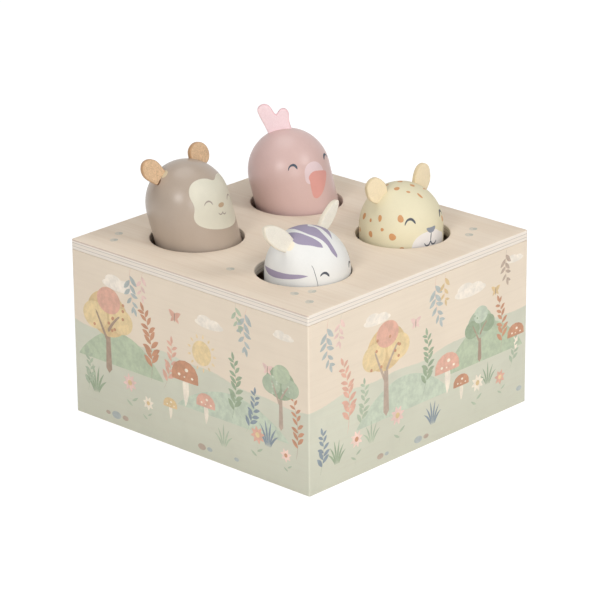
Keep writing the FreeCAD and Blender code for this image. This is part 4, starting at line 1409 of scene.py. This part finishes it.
def floor_material():
    """White for the eye, and a plain pale floor for the light, with the toy's soft shadow kept."""
    shader = new_shader("floor")
    seen, glossy, through = (shader.node("ShaderNodeLightPath", output=f"Is {kind} Ray")
                             for kind in ("Camera", "Glossy", "Transmission"))
    pale = shader.node("ShaderNodeBsdfDiffuse", {}, {"Color": (0.86, 0.86, 0.86, 1),
                                                     "Roughness": 0.5})
    white = shader.node("ShaderNodeEmission", {}, {"Color": WHITE, "Strength": 1.16})
    return seen_or_lit(shader, seen.larger(glossy).larger(through) * 0.80, pale, white)


def floor_mesh(heading):
    """Sweep: level floor, then a quarter circle up into a wall, carried sideways."""
    turn = np.linspace(0, math.pi / 2, 17)
    run = np.concatenate([[-6, -2, 0, 2, 4], 4 + 2 * np.sin(turn[1:]), [6]])
    rise = np.concatenate([[0] * 5, 2 * (1 - np.cos(turn[1:])), [7]])
    side = np.linspace(-9, 9, 5)[:, None]
    forward = np.array([-math.sin(heading), math.cos(heading)])
    across = np.array([math.cos(heading), math.sin(heading)])
    points = raised(run[:, None] * forward + side[..., None] * across, rise[:, None])
    mesh = bpy.data.meshes.new("floor")
    mesh.from_pydata(points.reshape(-1, 3) - (0, 0, 0.05 * MM), [],
                     grid_faces(*points.shape[:2], False, False)[:, ::-1])
    mesh.shade_smooth()
    mesh.materials.append(floor_material())
    return mesh


class TOY_OT_stage(Operator):
    """Set up the floor with its backdrop, the lamps and the camera"""
    bl_idname = "toy.stage"
    bl_label = "Stage"

    def execute(self, context):
        scene, stage = context.scene, context.scene.toy_stage
        roll = math.radians(CAMERA_ROLL)
        link("floor", floor_mesh(math.radians(CAMERA_AZIMUTH)))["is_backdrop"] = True
        area_lamp("key_lamp", (0.34, -1.48, 1.14), 0.7, stage.key)
        area_lamp("fill_lamp", (-1.60, -0.49, 0.89), 0.65, stage.fill)
        area_lamp("low_lamp", (-0.93, -1.60, 0.43), 0.8, stage.low)
        area_lamp("top_lamp", (0.1, 0.4, 1.8), 1.4, stage.over)

        room = Shader(bpy.data.worlds.new("room"))
        backdrop, light = (room.node("ShaderNodeBackground", {}, {"Strength": s, "Color": WHITE})
                           for s in (1.05, stage.room))
        eye = room.node("ShaderNodeLightPath", output="Is Camera Ray")
        scene.world = seen_or_lit(room, eye, light, backdrop)

        back = bearings((CAMERA_AZIMUTH, CAMERA_ELEVATION))
        level = unit(np.cross(-back, (0, 0, 1.0)))
        upright = np.cross(level, -back)
        right = math.cos(roll) * level + math.sin(roll) * upright
        up = -math.sin(roll) * level + math.cos(roll) * upright
        target = (0, 0, TARGET_HEIGHT) + TARGET_ASIDE * right + TARGET_UP * up
        lens = bpy.data.cameras.new("camera")
        lens.lens, lens.sensor_width = stage.lens, 36.0
        lens.clip_start, lens.clip_end = 0.05, 40.0
        scene.camera = turned("camera", lens, right, up, back, target + back * stage.distance)
        scene.view_settings.view_transform = "Standard"
        return {"FINISHED"}


class TOY_PT_sidebar(Panel):
    """Lists the pieces of the toy with their settings"""
    bl_idname = "TOY_PT_sidebar"
    bl_label = "Pop Up Toy"
    bl_space_type = "VIEW_3D"
    bl_region_type = "UI"
    bl_category = "Pop Up Toy"

    def draw(self, context):
        column = self.layout.column(align=True)
        for operator in OPERATORS:
            column.operator(operator.bl_idname)
        for group in (*settings(), context.scene.toy_stage):
            box = self.layout.box()
            for name in group.__annotations__:
                box.prop(group, name)


OPERATORS = (TOY_OT_lid, TOY_OT_print, TOY_OT_pegs, TOY_OT_faces, TOY_OT_ears, TOY_OT_springs,
             TOY_OT_inside, TOY_OT_stage)
GROUPS = {"toy_box": BoxSettings, "toy_pegs": PegSettings, "toy_stage": StageSettings}
CLASSES = (*GROUPS.values(), *OPERATORS, TOY_PT_sidebar)


def register():
    for cls in CLASSES:
        bpy.utils.register_class(cls)
    for name, group in GROUPS.items():
        setattr(bpy.types.Scene, name, PointerProperty(type=group))


def unregister():
    for name in GROUPS:
        delattr(bpy.types.Scene, name)
    for cls in reversed(CLASSES):
        bpy.utils.unregister_class(cls)


def corners(box):
    return [[float(number) for number in corner] for corner in box]


def main():
    register()
    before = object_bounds()
    toy = bpy.ops.toy
    for step in (toy.lid, toy.printed_sides, toy.pegs, toy.faces, toy.ears, toy.springs, toy.inside,
                 toy.stage):
        step()
    {"cad": corners(before), "visual": corners(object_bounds())}


if __name__ == "__main__":
    main()
